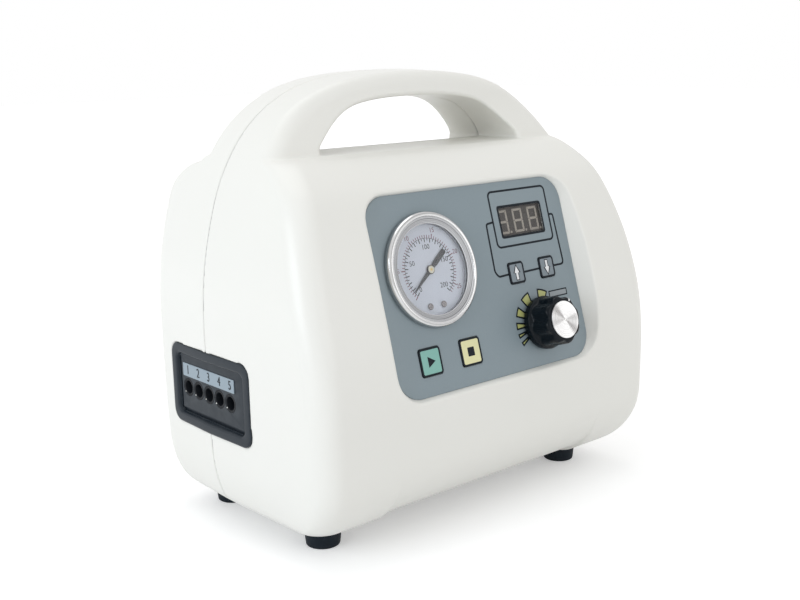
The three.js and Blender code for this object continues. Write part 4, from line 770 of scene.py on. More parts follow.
def fingerGap(name, grow=0, floor=housing["saddle"], fine=True):
    # An arch whose front half opens out behind a slanting crease and ends in a rounded lip
    count, front = gap["shares"] if fine else gap["coarseShares"], handle["front"]

    def frontSpread(y, z, rise):
        room = 1 - leanAt(z) / front
        crease = clamped((front - gap["creaseSlope"] * (z - housing["saddle"])) / room, 0, front)
        t = min(max(-y - crease, 0) / max(front - crease, 0.5), 1.3)
        radius = gap["lip"][0] + (gap["lip"][1] - gap["lip"][0]) * rise
        deep = clamped(radius - (front + y) * room, 0, radius)
        lip = radius - math.sqrt(radius ** 2 - deep ** 2) + max(-y - front, 0) * 0.5
        return alongTable(gapFlares, rise) * t + lip, gap["topFlare"] * t ** 1.5 + lip

    def rearSpread(y):
        return gap["rearFlare"] * max(0, 1 - (handle["rear"] - y) / gap["rounding"]) ** 2

    def outline(y):
        right = []
        for i in range(count + 1):
            rise = math.sin(i / count * math.pi / 2)
            z = housing["saddle"] + rise * (gap["top"] - housing["saddle"])
            wide, tall = frontSpread(y, z, rise) if y < 0 else (rearSpread(y), rearSpread(y))
            right.append((alongTable(gapShares, rise) * (gap["halfWidth"] + grow + wide),
                          z + rise * (grow + tall * rise * rise)))
        right[0:1] = [(right[0][0], floor)] + ([right[0]] if floor < housing["saddle"] else [])
        return [(x, y, z) for x, z in right + mirrored(right[:-1])]

    places = gap["places"] if fine else gap["places"][::3]
    return loft(name, leanBack([outline(y) for y in [-front - 12, *places, front + 12]]))


def recessForm(name, margin, base):
    levels = ((margin, base), (margin, 0), (margin + recess["rise"] * recess["flare"], recess["rise"]))
    rings = [atLevel(roundedOutline(recess["width"] + grow * 2, recess["height"] + grow * 2,
                                    recess["corner"] + grow), level) for grow, level in levels]
    return loft(name, rings, onPanel)


def reliefOutline():
    # The front's own profile lifted by the rise, which fades out towards the relief's top
    low, bottom = housing["ground"] + relief["rise"], housing["ground"] - relief["below"]
    outline = [(-relief["back"], bottom), (-relief["back"], low)]
    for i in range(relief["steps"] + 1):
        share = (i / relief["steps"]) ** relief["fade"]
        z = low + (relief["top"] - low) * share
        place = (z - relief["rise"] * (1 - share * share) - housing["ground"]) / trunkHeight
        outline.append((-housing["front"] * alongTable(frontShares, place), z))
    outside = -housing["front"] - relief["past"]
    return outline + [(outside, relief["top"]), (outside, bottom)]


# Places that the housing shares with the pieces in it
gauge = {"x": -38.5, "row": 12, "radius": 32, "case": 29}
display = {"x": 39.7, "row": 31.4, "width": 36.7, "height": 18.8, "corner": 1.6}
knob = {"x": 38.9, "row": -30.8, "bush": 4.6}
hole = {"corner": 1.6, "through": (-8, 2), "plate": (-3, 2)}
keySpots = {
    "up": (26.7, 1.1, 12.4), "down": (52.7, 1.1, 12.4),
    "start": (-51.35, -36.7, 15.2), "stop": (-21.25, -36.7, 15.2),
}
outlets = {
    "width": 79, "height": 46.6, "corner": 7, "band": 5.6, "z": 82, "proud": 0.4, "thickness": 2, "face": 2.9,
    "deep": -9, "out": 4,
}
feet = {
    "spots": {"front_left": (-98.3, -54.1), "front_right": (98.3, -54.1), "rear_left": (-98.3, 35.9),
              "rear_right": (98.3, 35.9)},
    "pad": 11, "padTop": 17, "stem": 3.7, "stemLow": 5, "stemHigh": 25,
}
screws = {
    "spots": {"lower_left": (-112, 44), "lower_right": (112, 44), "upper_left": (-103, 190),
              "upper_right": (103, 190)},
    "boss": 6, "bore": 2.3, "head": 4.1, "headDepth": 20, "frontBore": (-16, 4), "rearBore": (-2, 40),
}
vents = {"count": 7, "length": 46, "height": 3, "corner": 1.45, "pitch": 8, "x": 62, "z": 96}
rear = {"left": 27.7, "right": 91.5, "half": 10.3, "z": 42, "inner": 50, "outer": 66}
fit = 0.3
seam = {"drawn": 0.55, "half": 0.14}
sideX = -halfWidthAt(outlets["z"])


def onSide(y, z, out):
    # The left side leans in towards the front and the back, with the seam at its widest
    draft = housing["frontDraft" if y < 0 else "rearDraft"]
    return world(sideX + draft * abs(y) - out, y, outlets["z"] + z)


def sideOutline(grow, corner, steps=8):
    # Split where it crosses the seam, where the side bends
    points = roundedOutline(outlets["width"] + grow * 2, outlets["height"] + grow * 2, corner, steps)
    points.insert(3 * (steps + 1), (0, -outlets["height"] / 2 - grow))
    points.insert(steps + 1, (0, outlets["height"] / 2 + grow))
    return points


def cutSide(piece, grow, low):
    outline = sideOutline(grow, max(outlets["corner"] + grow, 2))
    return combine(piece, loft("pocket", [atLevel(outline, level) for level in (low, outlets["out"])],
                               onSide))


def deepForm(outline, low, high):
    return loftForm([[(x, y, z) for x, z in outline] for y in (low, high)])


def rodForm(radius, low, high, x, y, steps):
    return turnedForm([(radius, low), (radius, high)], steps, x, y)


def panelHoles():
    # Everything that passes through the panel, with room round it
    room = fit * 2
    width, height, corner, across, up = (display[k] for k in ("width", "height", "corner", "x", "row"))
    holes = [circle(gauge["case"] + fit, 96, gauge["x"], gauge["row"]),
             circle(knob["bush"] + fit, 40, knob["x"], knob["row"]),
             roundedOutline(width + room, height + room, corner, 6, across, up)]
    return holes + [roundedOutline(size + room, size + room, hole["corner"], 6, x, row)
                    for x, row, size in keySpots.values()]


def outerForm(name, steps, count, handleSteps, rounds):
    return combine(trunk(name, steps, count), handleForm("handle", 0, handleSteps, rounds), "UNION")


def hollowOut(piece):
    combine(piece, trunk("hollow", 4, 40, True))
    wall = housing["wall"]
    keep = fingerGap("keep", wall, housing["saddle"] - wall * 3, False)
    return combine(piece, combine(handleForm("inside", wall, 20, 3), keep))


def cutBores(piece, reach):
    for x, z in screws["spots"].values():
        combine(piece, build("bore", [deepForm(circle(screws["bore"], 32, x, z), *reach)]))


def housingHalf(name, front):
    steps, away, split = housing["cornerSteps"], housing["beyond"], housing["seam"]
    piece = hollowOut(outerForm(name, steps, housing["stations"], handle["steps"], handle["rounds"]))
    for x, y in feet["spots"].values():
        combine(piece, build("pad", [rodForm(feet["pad"], housing["ground"], feet["padTop"], x, y, 40)]),
                "UNION")
    for x, z in screws["spots"].values():
        reach = (-100, -split) if front else (split, 60)
        boss = build("boss", [deepForm(circle(screws["boss"], 32, x, z), *reach)])
        combine(piece, combine(boss, trunk("within", 6, 50), "INTERSECT"), "UNION")
    if front:
        pan = recessForm("pan", housing["wall"], recess["base"] - recess["floor"])
        combine(piece, combine(pan, outerForm("within", steps, housing["stations"], 30, 4), "INTERSECT"),
                "UNION")
    low, high = (-away, -split) if front else (split, away)
    combine(piece, build("keep", [blockForm((-away, low, -10), (away, high, away))]), "INTERSECT")
    combine(piece, fingerGap("finger"))
    cutSide(piece, fit, -(outlets["thickness"] - outlets["proud"] + fit))
    cutSide(piece, -outlets["band"], outlets["deep"])
    for x, y in feet["spots"].values():
        combine(piece, build("stem", [rodForm(feet["stem"], feet["stemLow"], feet["stemHigh"], x, y, 24)]))
    if front:
        combine(piece, recessForm("cut", 0, recess["base"]))
        cut(piece, reliefOutline(), -relief["halfWidth"], relief["halfWidth"], sideways)
        for outline in panelHoles():
            cut(piece, outline, *hole["through"], onPanel)
        cutBores(piece, screws["frontBore"])
    else:
        cutBores(piece, screws["rearBore"])
        cutRear(piece)
    return piece


def cutRear(piece):
    inner, outer, half = rear["inner"], rear["outer"], rear["half"]
    cuts = [blockForm((rear["left"] - fit, inner, rear["z"] - half),
                      (rear["right"] + fit, outer, rear["z"] + half))]
    for x in (-vents["x"], vents["x"]):
        for i in range(vents["count"]):
            z = vents["z"] + (i - (vents["count"] - 1) / 2) * vents["pitch"]
            slot = roundedOutline(vents["length"], vents["height"], vents["corner"], 6, x, z)
            cuts.append(deepForm(slot, inner, outer))
    for x, z in screws["spots"].values():
        cuts.append(deepForm(circle(screws["head"], 32, x, z), screws["headDepth"], outer))
    combine(piece, build("cuts", cuts))
    # The saddle falls away to the rear, behind the finger gap first and then behind the whole handle
    start, above, drop = housing["saddle"], housing["saddle"] + 2, gap["drop"]
    back, edge = handle["rear"] + drop * 4, handle["rear"]
    low = (back, start - drop * back / edge)
    half = gap["halfWidth"]
    cut(piece, [(0, start), low, (back, above), (0, above)], -half, half, sideways)
    half *= gap["behindReach"]
    cut(piece, [(edge, start - drop), low, (back, above), (edge, above)], -half, half, sideways)


def soften(piece):
    # An even fine mesh, with every edge rounded as a mould rounds it
    remesh = piece.modifiers.new("remesh", "REMESH")
    remesh.mode = "VOXEL"
    remesh.voxel_size = housing["voxel"] * mm
    remesh.use_smooth_shade = True
    smooth = piece.modifiers.new("smooth", "SMOOTH")
    smooth.iterations = housing["smooth"]
    smooth.factor = 0.5
    piece.modifiers.new("thin", "DECIMATE").ratio = housing["kept"]
    return bake(piece)


def makeHousing():
    for half in ("front", "rear"):
        piece = soften(housingHalf(half + "_housing", half == "front"))
        dress(piece, "shell_ivory", half + "_shell")
        print(piece.name, "made:", len(piece.data.vertices), "points")


def makeSeam():
    # A dark liner closes the seam a little below the surface, so that no light shows through it
    liner = hollowOut(outerForm("seam_liner", 10, 60, 40, 6))
    away = housing["beyond"]
    combine(liner, build("slab", [blockForm((-away, -seam["half"], -10), (away, seam["half"], away))]),
            "INTERSECT")
    # Drawn in by about half a millimetre all round, then kept clear of the finger gap and the outlet frame
    middle = world(0, 0, 130)
    for vertex in liner.data.vertices:
        for axis, half in ((0, housing["width"] / 2), (2, housing["height"] / 2)):
            vertex.co[axis] = middle[axis] + (vertex.co[axis] - middle[axis]) * (1 - seam["drawn"] / half)
    combine(liner, fingerGap("finger", seam["drawn"]))
    cutSide(liner, fit, outlets["deep"])
    dress(crease(liner, 30), "shell_ivory", ink="seam_grey")


# Control panel with its printed lines
panel = {"width": 152.8, "height": 110.2, "corner": 14.7, "thickness": 1, "edge": 0.2}
ink = {"thick": 0.05, "sink": 0.02, "line": 1.2, "bend": 1.44, "fillLevel": 0.8}
frameLine = (48.8, 33.8, 3.4, 1.2, 39.97, 33.3)     # width, height, corner, line, place across and up
connectors = [
    [(16.2, 32.2), (10.4, 31.6), (9.8, 3.8), (12.2, 0.6), (20.8, 1.0)],
    [(32.6, 0.7), (46.8, 1.0)],
    [(64, 31.9), (67.2, 31.9), (68.2, 2.4), (66.8, 1.1), (58.6, 1.1)],
]
dialWedges = {
    "x": 38.72, "row": -31.12, "outer": 20.8, "inner": 12.6, "line": 1.0, "fillInset": 0.9, "steps": 8,
    "spans": [(-120.5, -112.5), (-106, -98), (-91.4, -78.7), (-70, -52), (-39, -16), (5.4, 30)],
}
slimBar = {"x": 58.2, "row": -15.45, "width": 16.0, "height": 4.3, "line": 0.75, "corner": 0.3}


def inkBand(width, height, corner, line, x, row, low=-ink["sink"], high=ink["thick"]):
    outer = roundedOutline(width, height, corner, 8, x, row)
    inner = roundedOutline(width - line * 2, height - line * 2, max(corner - line, 0.2), 8, x, row)
    return bandForm(outer, inner, low, high)


def wedgeOutline(start, end, grow=0.0):
    # A sector of a ring, in degrees clockwise from up
    points = []
    for radius, way in ((dialWedges["outer"], 1), (dialWedges["inner"], -1)):
        spin = math.degrees(grow / radius)
        arc = [polar(radius - grow * way, start + spin + (end - start - spin * 2) * i / dialWedges["steps"])
               for i in range(dialWedges["steps"] + 1)]
        points += arc[::way]
    return [(dialWedges["x"] + a, dialWedges["row"] + b) for a, b in points]


def polar(radius, degrees):
    return radius * math.sin(math.radians(degrees)), radius * math.cos(math.radians(degrees))


def makePanel():
    slab = slabForm(panel["width"], panel["height"], panel["corner"], -panel["thickness"], 0, panel["edge"],
                    steps=16)
    plate = build("panel_plate", [slab], onPanel)
    for outline in panelHoles():
        cut(plate, outline, *hole["plate"], onPanel)
    dress(crease(plate, 30), "panel_grey", "control_panel")
    low, high, bar = -ink["sink"], ink["thick"], slimBar
    black = [inkBand(*frameLine)]
    black += [strokeForm(roundedPath(path, ink["bend"]), ink["line"], low, high) for path in connectors]
    black += [bandForm(wedgeOutline(*span), wedgeOutline(*span, dialWedges["line"]), low, high)
              for span in dialWedges["spans"]]
    black.append(inkBand(bar["width"], bar["height"], bar["corner"], bar["line"], bar["x"], bar["row"]))
    lime = [wedgeOutline(*span, dialWedges["line"] * dialWedges["fillInset"]) for span in dialWedges["spans"]]
    grey = [roundedOutline(bar["width"] - bar["line"], bar["height"] - bar["line"], bar["corner"] / 2, 4,
                           bar["x"], bar["row"])]
    dress(build("panel_print_black", black, onPanel), "panel_grey", ink="ink_black")
    for name, outlines in (("lime", lime), ("grey", grey)):
        fills = [prismForm(outline, low, high * ink["fillLevel"]) for outline in outlines]
        dress(build("panel_print_" + name, fills, onPanel), "panel_grey", ink="ink_" + name)
    print("panel made")


# Keys: each cap carries its own outline and sign, so they move together
keyLook = {
    "rise": 0.5, "edge": 0.14, "corner": 2.0, "line": 1.12, "flange": -4.6, "flangeThick": 1.2, "margin": 1.2,
    "crown": 0.06, "inset": 5, "crownCorner": 1.2, "flangeEdge": (0.3, 0.2), "outline": (0.1, 0.05),
    "lineLevels": (-0.5, 0.08), "play": (2.1, 3.2, 3), "square": (5, 5, 0.4, 4), "sink": 0.05,
    "signThick": 0.03, "edgeThick": 0.04,
    "slots": {"up": "key_grey", "down": "key_grey", "start": "key_green", "stop": "key_yellow"},
}
arrow = {"length": 8.0, "head": 4.2, "headWide": 4.2, "stem": 1.7, "line": 0.5, "fill": 0.02}


def arrowOutline(x, row, way, grow):
    half, head = arrow["length"] / 2 + grow, arrow["headWide"] / 2 + grow * 1.6
    neck, stem = half - arrow["head"] - grow * 0.6, arrow["stem"] / 2 + grow
    points = [(-stem, -half), (stem, -half), (stem, neck), (head, neck), (0, half + grow), (-head, neck),
              (-stem, neck)]
    return [(x + a, row + b * way) for a, b in points]


def makeKey(name):
    (x, row, size), look, slotName = keySpots[name], keyLook, keyLook["slots"][name]
    wide, top = size + look["margin"] * 2, look["rise"] + look["crown"]
    flange, corner = look["flange"], look["corner"]
    rings = []
    inward, down = look["flangeEdge"]
    for width, level in ((wide, flange - look["flangeThick"]), (wide, flange - down),
                         (wide - inward, flange), (size, flange)):
        rings.append(atLevel(roundedOutline(width, width, corner, 8, x, row), level))
    for a, b in quarter(5):
        inset = look["edge"] * a
        outline = roundedOutline(size - inset * 2, size - inset * 2, corner - inset, 8, x, row)
        rings.append(atLevel(outline, look["rise"] - look["edge"] + look["edge"] * b))
    crown = size - look["inset"]
    rings.append(atLevel(roundedOutline(crown, crown, look["crownCorner"], 8, x, row), top))

    def lay(suffix, form, finishName, *stoodFor):
        dress(build(name + suffix, [form], onPanel), slotName, *stoodFor, body=name + "_key", ink=finishName)

    lay("_cap", loftForm(rings), slotName, name + "_button")
    (wider, rounder), (low, high) = look["outline"], look["lineLevels"]
    lay("_outline", inkBand(size + wider, size + wider, corner + rounder, look["line"], x, row, low,
                            look["rise"] + high), "ink_black")
    low, high = top - look["sink"], top + look["signThick"]
    if name in ("up", "down"):
        way = 1 if name == "up" else -1
        outer, inner, fill = (arrowOutline(x, row, way, grow) for grow in (arrow["line"], 0, arrow["fill"]))
        lay("_arrow_edge", bandForm(outer, inner, low, top + look["edgeThick"]), "ink_black")
        lay("_arrow", prismForm(fill, low, high), "ink_white")
    else:
        left, right, half = look["play"]
        play = [(x - left, row - half), (x + right, row), (x - left, row + half)]
        sign = play if name == "start" else roundedOutline(*look["square"], x, row)
        lay("_sign", prismForm(sign, low, high), "ink_black")


def makeKeys():
    for name in keySpots:
        makeKey(name)
    print("keys made")


# Timer display: smoked pane over three figures of seven segments
timer = {
    "module": (37.6, 19.2, 0.3, -9.6, -1.75, 0.2), "lit": (-1.78, -1.68), "pane": (-0.9, 0, 0.15),
    "rim": 1.3, "rimCorner": 2.6, "rimOver": 0.5, "rimLevels": (-0.02, 0.06),
}
figures = {
    "pitch": 12.7, "height": 14, "width": 8.0, "bar": 1.35, "split": 0.16, "aside": -0.9,
    "point": 0.7, "pointAside": 1.35, "pointSteps": 20,
}


def segmentOutlines(x, row):
    wide, high, bar, split = (figures[k] for k in ("width", "height", "bar", "split"))
    half, w, h = bar / 2, (wide - bar) / 2, (high - bar) / 2
    level = [(-w - half + split, h + half), (w + half - split, h + half), (w - half - split, h - half),
             (-w + half + split, h - half)]
    upright = [(-w - half, split), (-w, split), (-w + half, half + split), (-w + half, h - half - split),
               (-w - half, h + half - split)]
    middle = [(-w + split, 0), (-w + half + split, half), (w - half - split, half), (w - split, 0),
              (w - half - split, -half), (-w + half + split, -half)]
    shapes = [(level, 1, 1), (middle, 1, 1), (level, 1, -1)]
    shapes += [(upright, across, up) for across, up in ((1, 1), (-1, 1), (1, -1), (-1, -1))]
    return [[(x + a * across, row + b * up) for a, b in shape] for shape, across, up in shapes]


def makeDisplay():
    x, row, width, height = (display[k] for k in ("x", "row", "width", "height"))

    def lay(name, forms, slotName, *stoodFor, ink=None):
        dress(build(name, forms, onPanel), slotName, *stoodFor, ink=ink)

    lay("timer_module", [slabForm(*timer["module"], x, row)], "led_dark", "led_display")
    lit = []
    for i in (-1, 0, 1):
        at = x + i * figures["pitch"] + figures["aside"]
        aside, below = figures["width"] / 2 + figures["pointAside"], figures["height"] / 2 - figures["point"]
        dot = circle(figures["point"], figures["pointSteps"], at + aside, row - below)
        lit += [prismForm(outline, *timer["lit"]) for outline in segmentOutlines(at, row) + [dot]]
    lay("timer_segments", lit, "led_dark", ink="segment_pale")
    pane = slabForm(width, height, display["corner"], *timer["pane"], x, row)
    lay("timer_pane", [pane], "window_smoke", "display_window")
    over = timer["rimOver"]
    rim = inkBand(width + over, height + over, timer["rimCorner"], timer["rim"], x, row, *timer["rimLevels"])
    lay("timer_rim", [rim], "window_smoke", ink="ink_black")
    print("display made")


# Pressure gauge, drawn round its own axis
gaugeLook = {
    "ring": [(29.3, 0.3), (31.5, 0.3), (31.9, 0.5), (32, 0.9), (32, 2.2), (31.85, 2.9), (31.5, 3.6),
             (31.0, 4.15), (30.4, 4.5), (29.8, 4.6), (29.2, 4.45), (28.9, 4.1), (28.8, 3.4), (29.3, 2.7)],
    "inner": [(29.2, -0.9), (29.2, 3.9), (28.6, 4.1), (27.9, 4.0), (27.3, 3.6), (26.6, 3.5), (26.1, 3.1),
              (25.5, 3.0), (25.1, 2.75), (25.1, 2.45), (28.75, 2.45), (28.75, 0.75), (25.3, 0.75),
              (25.3, -0.9)],
    "glass": [(28.5, 0.8), (28.7, 1.0), (28.7, 2.2), (28.5, 2.4)],
    "face": [(25.2, -1.8), (25.4, -1.7), (25.4, -1.1), (25.3, -1.0)],
    "notches": (18, 169), "notch": box(-0.8, 0.8, -0.7, 1.5), "notchIn": 0.2, "notchLevels": (1.4, 6),
    "print": (-1.01, -0.96), "bore": (1.3, 24), "boreLevels": (-3, 1),
}
scale = {
    "start": -137, "perKpa": 10.36, "perMmHg": 10.36 / 7.5006, "circle": 17.5, "arc": 276, "half": 0.1,
    # How many ticks, their step and which are long, then where short and long ones end and the figures stand
    "black": {"count": 41, "step": 5, "long": 2, "per": "perMmHg", "short": 16.1, "reach": 15.2,
              "figures": (0, 50, 100, 150, 200), "size": 3.9, "at": 12.6, "zeroAt": 13.4, "from": 0},
    "red": {"count": 54, "step": 0.5, "long": 10, "per": "perKpa", "short": 19.3, "reach": 20.2,
            "figures": (5, 10, 15, 20, 25), "size": 3.7, "at": 22.3, "zeroAt": 22.3, "from": 0.1},
    "line": 0.42, "lineLong": 0.55,
}
dialScrew = {
    "x": 4.95, "row": -19.8, "head": [(1.75, -0.7), (1.8, -0.3), (1.6, 0.0), (1.0, 0.09)],
    "shank": [(0.9, -4), (0.9, -0.72)], "slot": (1.9, 0.25), "slotLevels": (-0.2, 1),
}
pointer = {
    "angle": -127, "low": -0.3, "high": 0.2,
    "halves": [(17.5, 0.5), (2, 2.2), (-2, 1.9), (-5, 3.0), (-15.3, 3.0)], "shaft": [(0.7, -7), (0.7, -0.35)],
    "parts": {"hub": ([(2.5, -0.6), (2.5, 0.25), (2.35, 0.35)], 48, "needle_black"),
              "cap": ([(2.1, 0.36), (2.1, 0.46), (1.8, 0.5)], 48, "cap_cream"),
              "pin": ([(0.75, 0.48), (0.75, 0.62), (0.5, 0.68)], 32, "brass_works")},
}


def onGauge(x, row, level):
    return onPanel(gauge["x"] + x, gauge["row"] + row, level)


def spun(points, degrees):
    turn = Matrix.Rotation(-math.radians(degrees), 3, "Z")
    return [tuple((turn @ Vector((x, y, 0))).xy) for x, y in points]


def tickForm(degrees, inner, outer, width, low, high):
    a, b = Vector(polar(inner, degrees)), Vector(polar(outer, degrees))
    along = (b - a).normalized()
    side = Vector((-along.y, along.x)) * width / 2
    return prismForm([tuple(a + side), tuple(a - side), tuple(b - side), tuple(b + side)], low, high)


def scaleForms(look):
    forms, (low, high) = [], gaugeLook["print"]
    for i in range(look["count"]):
        degrees = scale["start"] + i * look["step"] * scale[look["per"]]
        major = i % look["long"] == 0
        ends = sorted((scale["circle"] + look["from"], look["reach"] if major else look["short"]))
        forms.append(tickForm(degrees, *ends, scale["lineLong"] if major else scale["line"], low, high))
    for value in look["figures"]:
        x, y = polar(look["at"] if value else look["zeroAt"], scale["start"] + value * scale[look["per"]])
        forms.append(textForm(str(value), look["size"], x, y, low, high))
    return forms


def makeGauge():
    spot, look = panelSpot(gauge["x"], gauge["row"]), gaugeLook

    def lay(piece, slotName, *stoodFor, ink=None):
        piece.matrix_world = spot
        dress(piece, slotName, *stoodFor, ink=ink)

    ring = build("gauge_ring", [turnedForm(look["ring"], 160, cyclic=True)], local, 50)
    for degrees in look["notches"]:
        x, y = polar(gauge["radius"] - look["notchIn"], degrees)
        cut(ring, [(x + a, y + b) for a, b in spun(look["notch"], degrees)], *look["notchLevels"], local)
    lay(crease(ring, 50), "bezel_chrome", "gauge_bezel")
    # A channel that holds the glass: pale lip above it, pale wall below it down to the dial
    inner = [turnedForm(look["inner"], 160, cyclic=True)]
    lay(build("gauge_inner_ring", inner, local, 50), "bezel_chrome", ink="gauge_ring")
    lay(build("gauge_glass", [turnedForm(look["glass"], 128)], local), "lens_clear", "gauge_lens")
    dial = build("gauge_face", [turnedForm(look["face"], 128)], local)
    cut(dial, circle(*look["bore"]), *look["boreLevels"], local)
    lay(crease(dial, 30), "dial_white", "gauge_dial")
    ends = [scale["start"] + scale["arc"] * i / 90 for i in range(91)]
    outer, inner = ([polar(scale["circle"] + way * scale["half"], a) for a in ends] for way in (1, -1))
    arc = prismForm(outer + inner[::-1], *look["print"])
    for name, extra in (("black", [arc]), ("red", [])):
        dress(build("gauge_scale_" + name, scaleForms(scale[name]) + extra, onGauge), "dial_white",
              ink="ink_" + name)

    for name, way in (("left", -1), ("right", 1)):
        x, row = way * dialScrew["x"], dialScrew["row"]
        forms = [turnedForm(dialScrew["head"], 32, x, row), turnedForm(dialScrew["shank"], 16, x, row)]
        screw, (long, half) = build("dial_screw_head_" + name, forms, onGauge), dialScrew["slot"]
        cut(screw, box(x - long, x + long, row - half, row + half), *dialScrew["slotLevels"], onGauge)
        dress(crease(screw, 30), "small_steel", "dial_screw_" + name, ink="screw_dark")

    outline = [(-wide / 2, y) for y, wide in pointer["halves"]]
    outline = spun(outline + mirrored(outline), pointer["angle"])
    blade = [prismForm(outline, pointer["low"], pointer["high"]), turnedForm(pointer["shaft"], 16)]
    dress(build("needle_blade", blade, onGauge), "needle_black", "gauge_pointer", body="needle")
    for name, (profile, steps, finishName) in pointer["parts"].items():
        part = build("needle_" + name, [turnedForm(profile, steps)], onGauge)
        dress(part, "needle_black", body="needle", ink=finishName)
    print("gauge made")


# Pressure knob with its fluted grip and spun disc
knobLook = {
    "lobes": 8, "phase": 35, "steps": 192,
    "profile": [(1.0, 14.8, 0), (1.15, 15.3, 0), (1.7, 15.5, 0), (2.4, 15.6, 0), (4.2, 15.7, 0),
                (4.9, 15.6, 0), (5.35, 15.4, 0.05), (5.7, 14.9, 0.3), (6.2, 14.6, 0.7), (7.2, 14.5, 1.2),
                (9.5, 14.45, 1.5), (13, 14.4, 1.7), (16.4, 14.3, 1.7), (17.3, 14.0, 1.5), (17.9, 13.5, 1.2),
                (18.25, 12.9, 0.7), (18.4, 12.2, 0.2), (18.4, 11.5, 0)],
    "bores": [(14.1, 4.3, 64), (3.3, 15.8, 32)],
    "disc": [(10.7, 18.5), (10.8, 18.6), (10.8, 19.2), (10.65, 19.4), (10.5, 19.45), (10.35, 19.36),
             (10.2, 19.32), (5, 19.26), (0.4, 19.2)],
    "mark": [(11.95, 18.42), (12.8, 18.33), (13.45, 17.97), (13.86, 17.4), (14.02, 16.6), (14.1, 15.6)],
    "markWide": 1.1,
}


def makeKnob():
    spot, look = panelSpot(knob["x"], knob["row"]), knobLook

    def lay(piece, slotName, *stoodFor, ink=None):
        piece.matrix_world = spot
        dress(piece, slotName, *stoodFor, body="knob", ink=ink)

    rings = []
    for level, radius, depth in look["profile"]:
        ring = []
        for i in range(look["steps"]):
            angle = 2 * math.pi * i / look["steps"]
            flute = (0.5 - 0.5 * math.cos(look["lobes"] * (angle + math.radians(look["phase"] - 90)))) ** 1.6
            reach = radius - depth * flute
            ring.append((reach * math.cos(angle), reach * math.sin(angle), level))
        rings.append(ring)
    grip = loft("knob_grip", rings, local)
    for radius, top, steps in look["bores"]:
        combine(grip, build("bore", [rodForm(radius, 0, top, 0, 0, steps)], local))
    lay(crease(grip, 40), "knob_black", "knob_body")
    lay(build("knob_disc", [turnedForm(look["disc"], 160)], local, 60), "knob_silver", "knob_cap")
    # A thin strip that follows the grip from its crown down the side
    turn = Matrix.Rotation(-math.radians(look["phase"]), 3, "Z")
    rows = []
    for path, lift in ((look["mark"], 0.035), (look["mark"][::-1], -0.21)):
        for radius, level in path:
            rows.append([tuple(turn @ Vector((look["markWide"] * share, radius + lift, level + lift)))
                         for share in (-0.5, -0.25, 0.25, 0.5)])
    lay(build("knob_mark", [stripForm(rows)], local), "knob_black", ink="ink_white")
    print("knob made")


# Outlet side: raised frame, sunk face, five mouths and the numbered strip
side = {
    "profile": [(0, -1.6), (0, -0.05), (-0.2, 0.22), (-0.6, 0.36), (-1.0, 0.4), (-4.3, 0.4), (-4.8, 0.3),
                (-5.3, -0.05), (-5.6, -0.6), (-6.05, -2.42), (-5.65, -2.42), (-5.65, -1.6)],
    "face": (67.2, 34.8, 3.9, -2, 0, 0.15),         # width, height, corner, levels and edge
    "grooves": [(-32.6, 32.9, -16.9, -14.7, 1.5), (31.2, 32.6, -16.9, 15.5, 1.1)],
}
ports = {
    "count": 5, "pitch": 10.85, "y": 2.8, "z": -1.9, "bore": 3.8, "sleeve": 5.2, "depth": 14, "rim": 0.35,
    "bevelShare": 0.3, "edge": 0.15, "room": 0.12,
}
portPin = {
    "y": 3.4, "z": -3.1, "steps": 16, "profile": [(0.42, -0.4), (0.42, 0.05), (0.294, 0.22), (0.126, 0.28)],
}
strip = {
    "length": 52.8, "height": 7.6, "corner": 0.5, "low": 0.1, "top": 0.5, "edge": 0.08, "y": 2.6, "z": 8.4,
    "digit": 7.4, "narrow": 0.8, "lead": -0.9, "double": 0.16,
}


def onFace(y, z, out):
    # Flat face of the sunk plate, seen from the left: across runs towards the front
    return world(sideX - outlets["proud"] + outlets["face"] - out, y, outlets["z"] + z)


def makeSide():
    rings = [atLevel(sideOutline(grow, outlets["corner"] + grow / 2), out) for grow, out in side["profile"]]
    frameRing = build("outlet_frame", [loftForm(rings, cyclic=True)], onSide, 30)
    dress(frameRing, "socket_black", "socket_bezel")
    plate = build("outlet_face", [slabForm(*side["face"])], onFace)
    for left, right, low, high, depth in side["grooves"]:
        cut(plate, box(left, right, low, high), -depth, 1, onFace)
    rim, bore, sleeve, depth, edge = (ports[k] for k in ("rim", "bore", "sleeve", "depth", "edge"))
    bevel = rim * ports["bevelShare"]
    profile = [(bore, -depth), (bore, -rim), (bore + bevel, -bevel), (bore + rim, 0), (sleeve - edge, 0),
               (sleeve, -edge), (sleeve, -depth)]
    digits, pins, top = [], [], strip["top"]
    for i in range(ports["count"]):
        y, z, number = ports["y"] - (i - (ports["count"] - 1) / 2) * ports["pitch"], ports["z"], str(i + 1)
        cut(plate, circle(sleeve + ports["room"], 48, y, z), -4, 2, onFace)
        mouth = build("outlet_mouth_" + number, [turnedForm(profile, 64, y, z, True)], onFace)
        dress(mouth, "socket_black", "outlet_socket_" + number, ink="port_black")
        # Two prints side by side give the heavy strokes
        for step in (-strip["double"], strip["double"]):
            points, faces = textForm(number, strip["digit"], 0, 0, top - 0.03, top + 0.04 + step * 0.02)
            across = y + strip["lead"] + step
            placed = [(across - a * strip["narrow"], strip["z"] + b, c) for a, b, c in points]
            digits.append((placed, faces))
        pins.append(turnedForm(portPin["profile"], portPin["steps"], y + portPin["y"], z + portPin["z"]))
    dress(crease(plate, 30), "socket_black", "outlet_plate")
    label = slabForm(*(strip[k] for k in ("length", "height", "corner", "low", "top", "edge", "y", "z")))
    dress(build("port_strip", [label], onFace), "label_blue", "port_label")
    dress(build("port_numbers", digits, onFace), "label_blue", ink="ink_black")
    dress(build("mouth_pins", pins, onFace), "small_steel")
    print("outlets made")


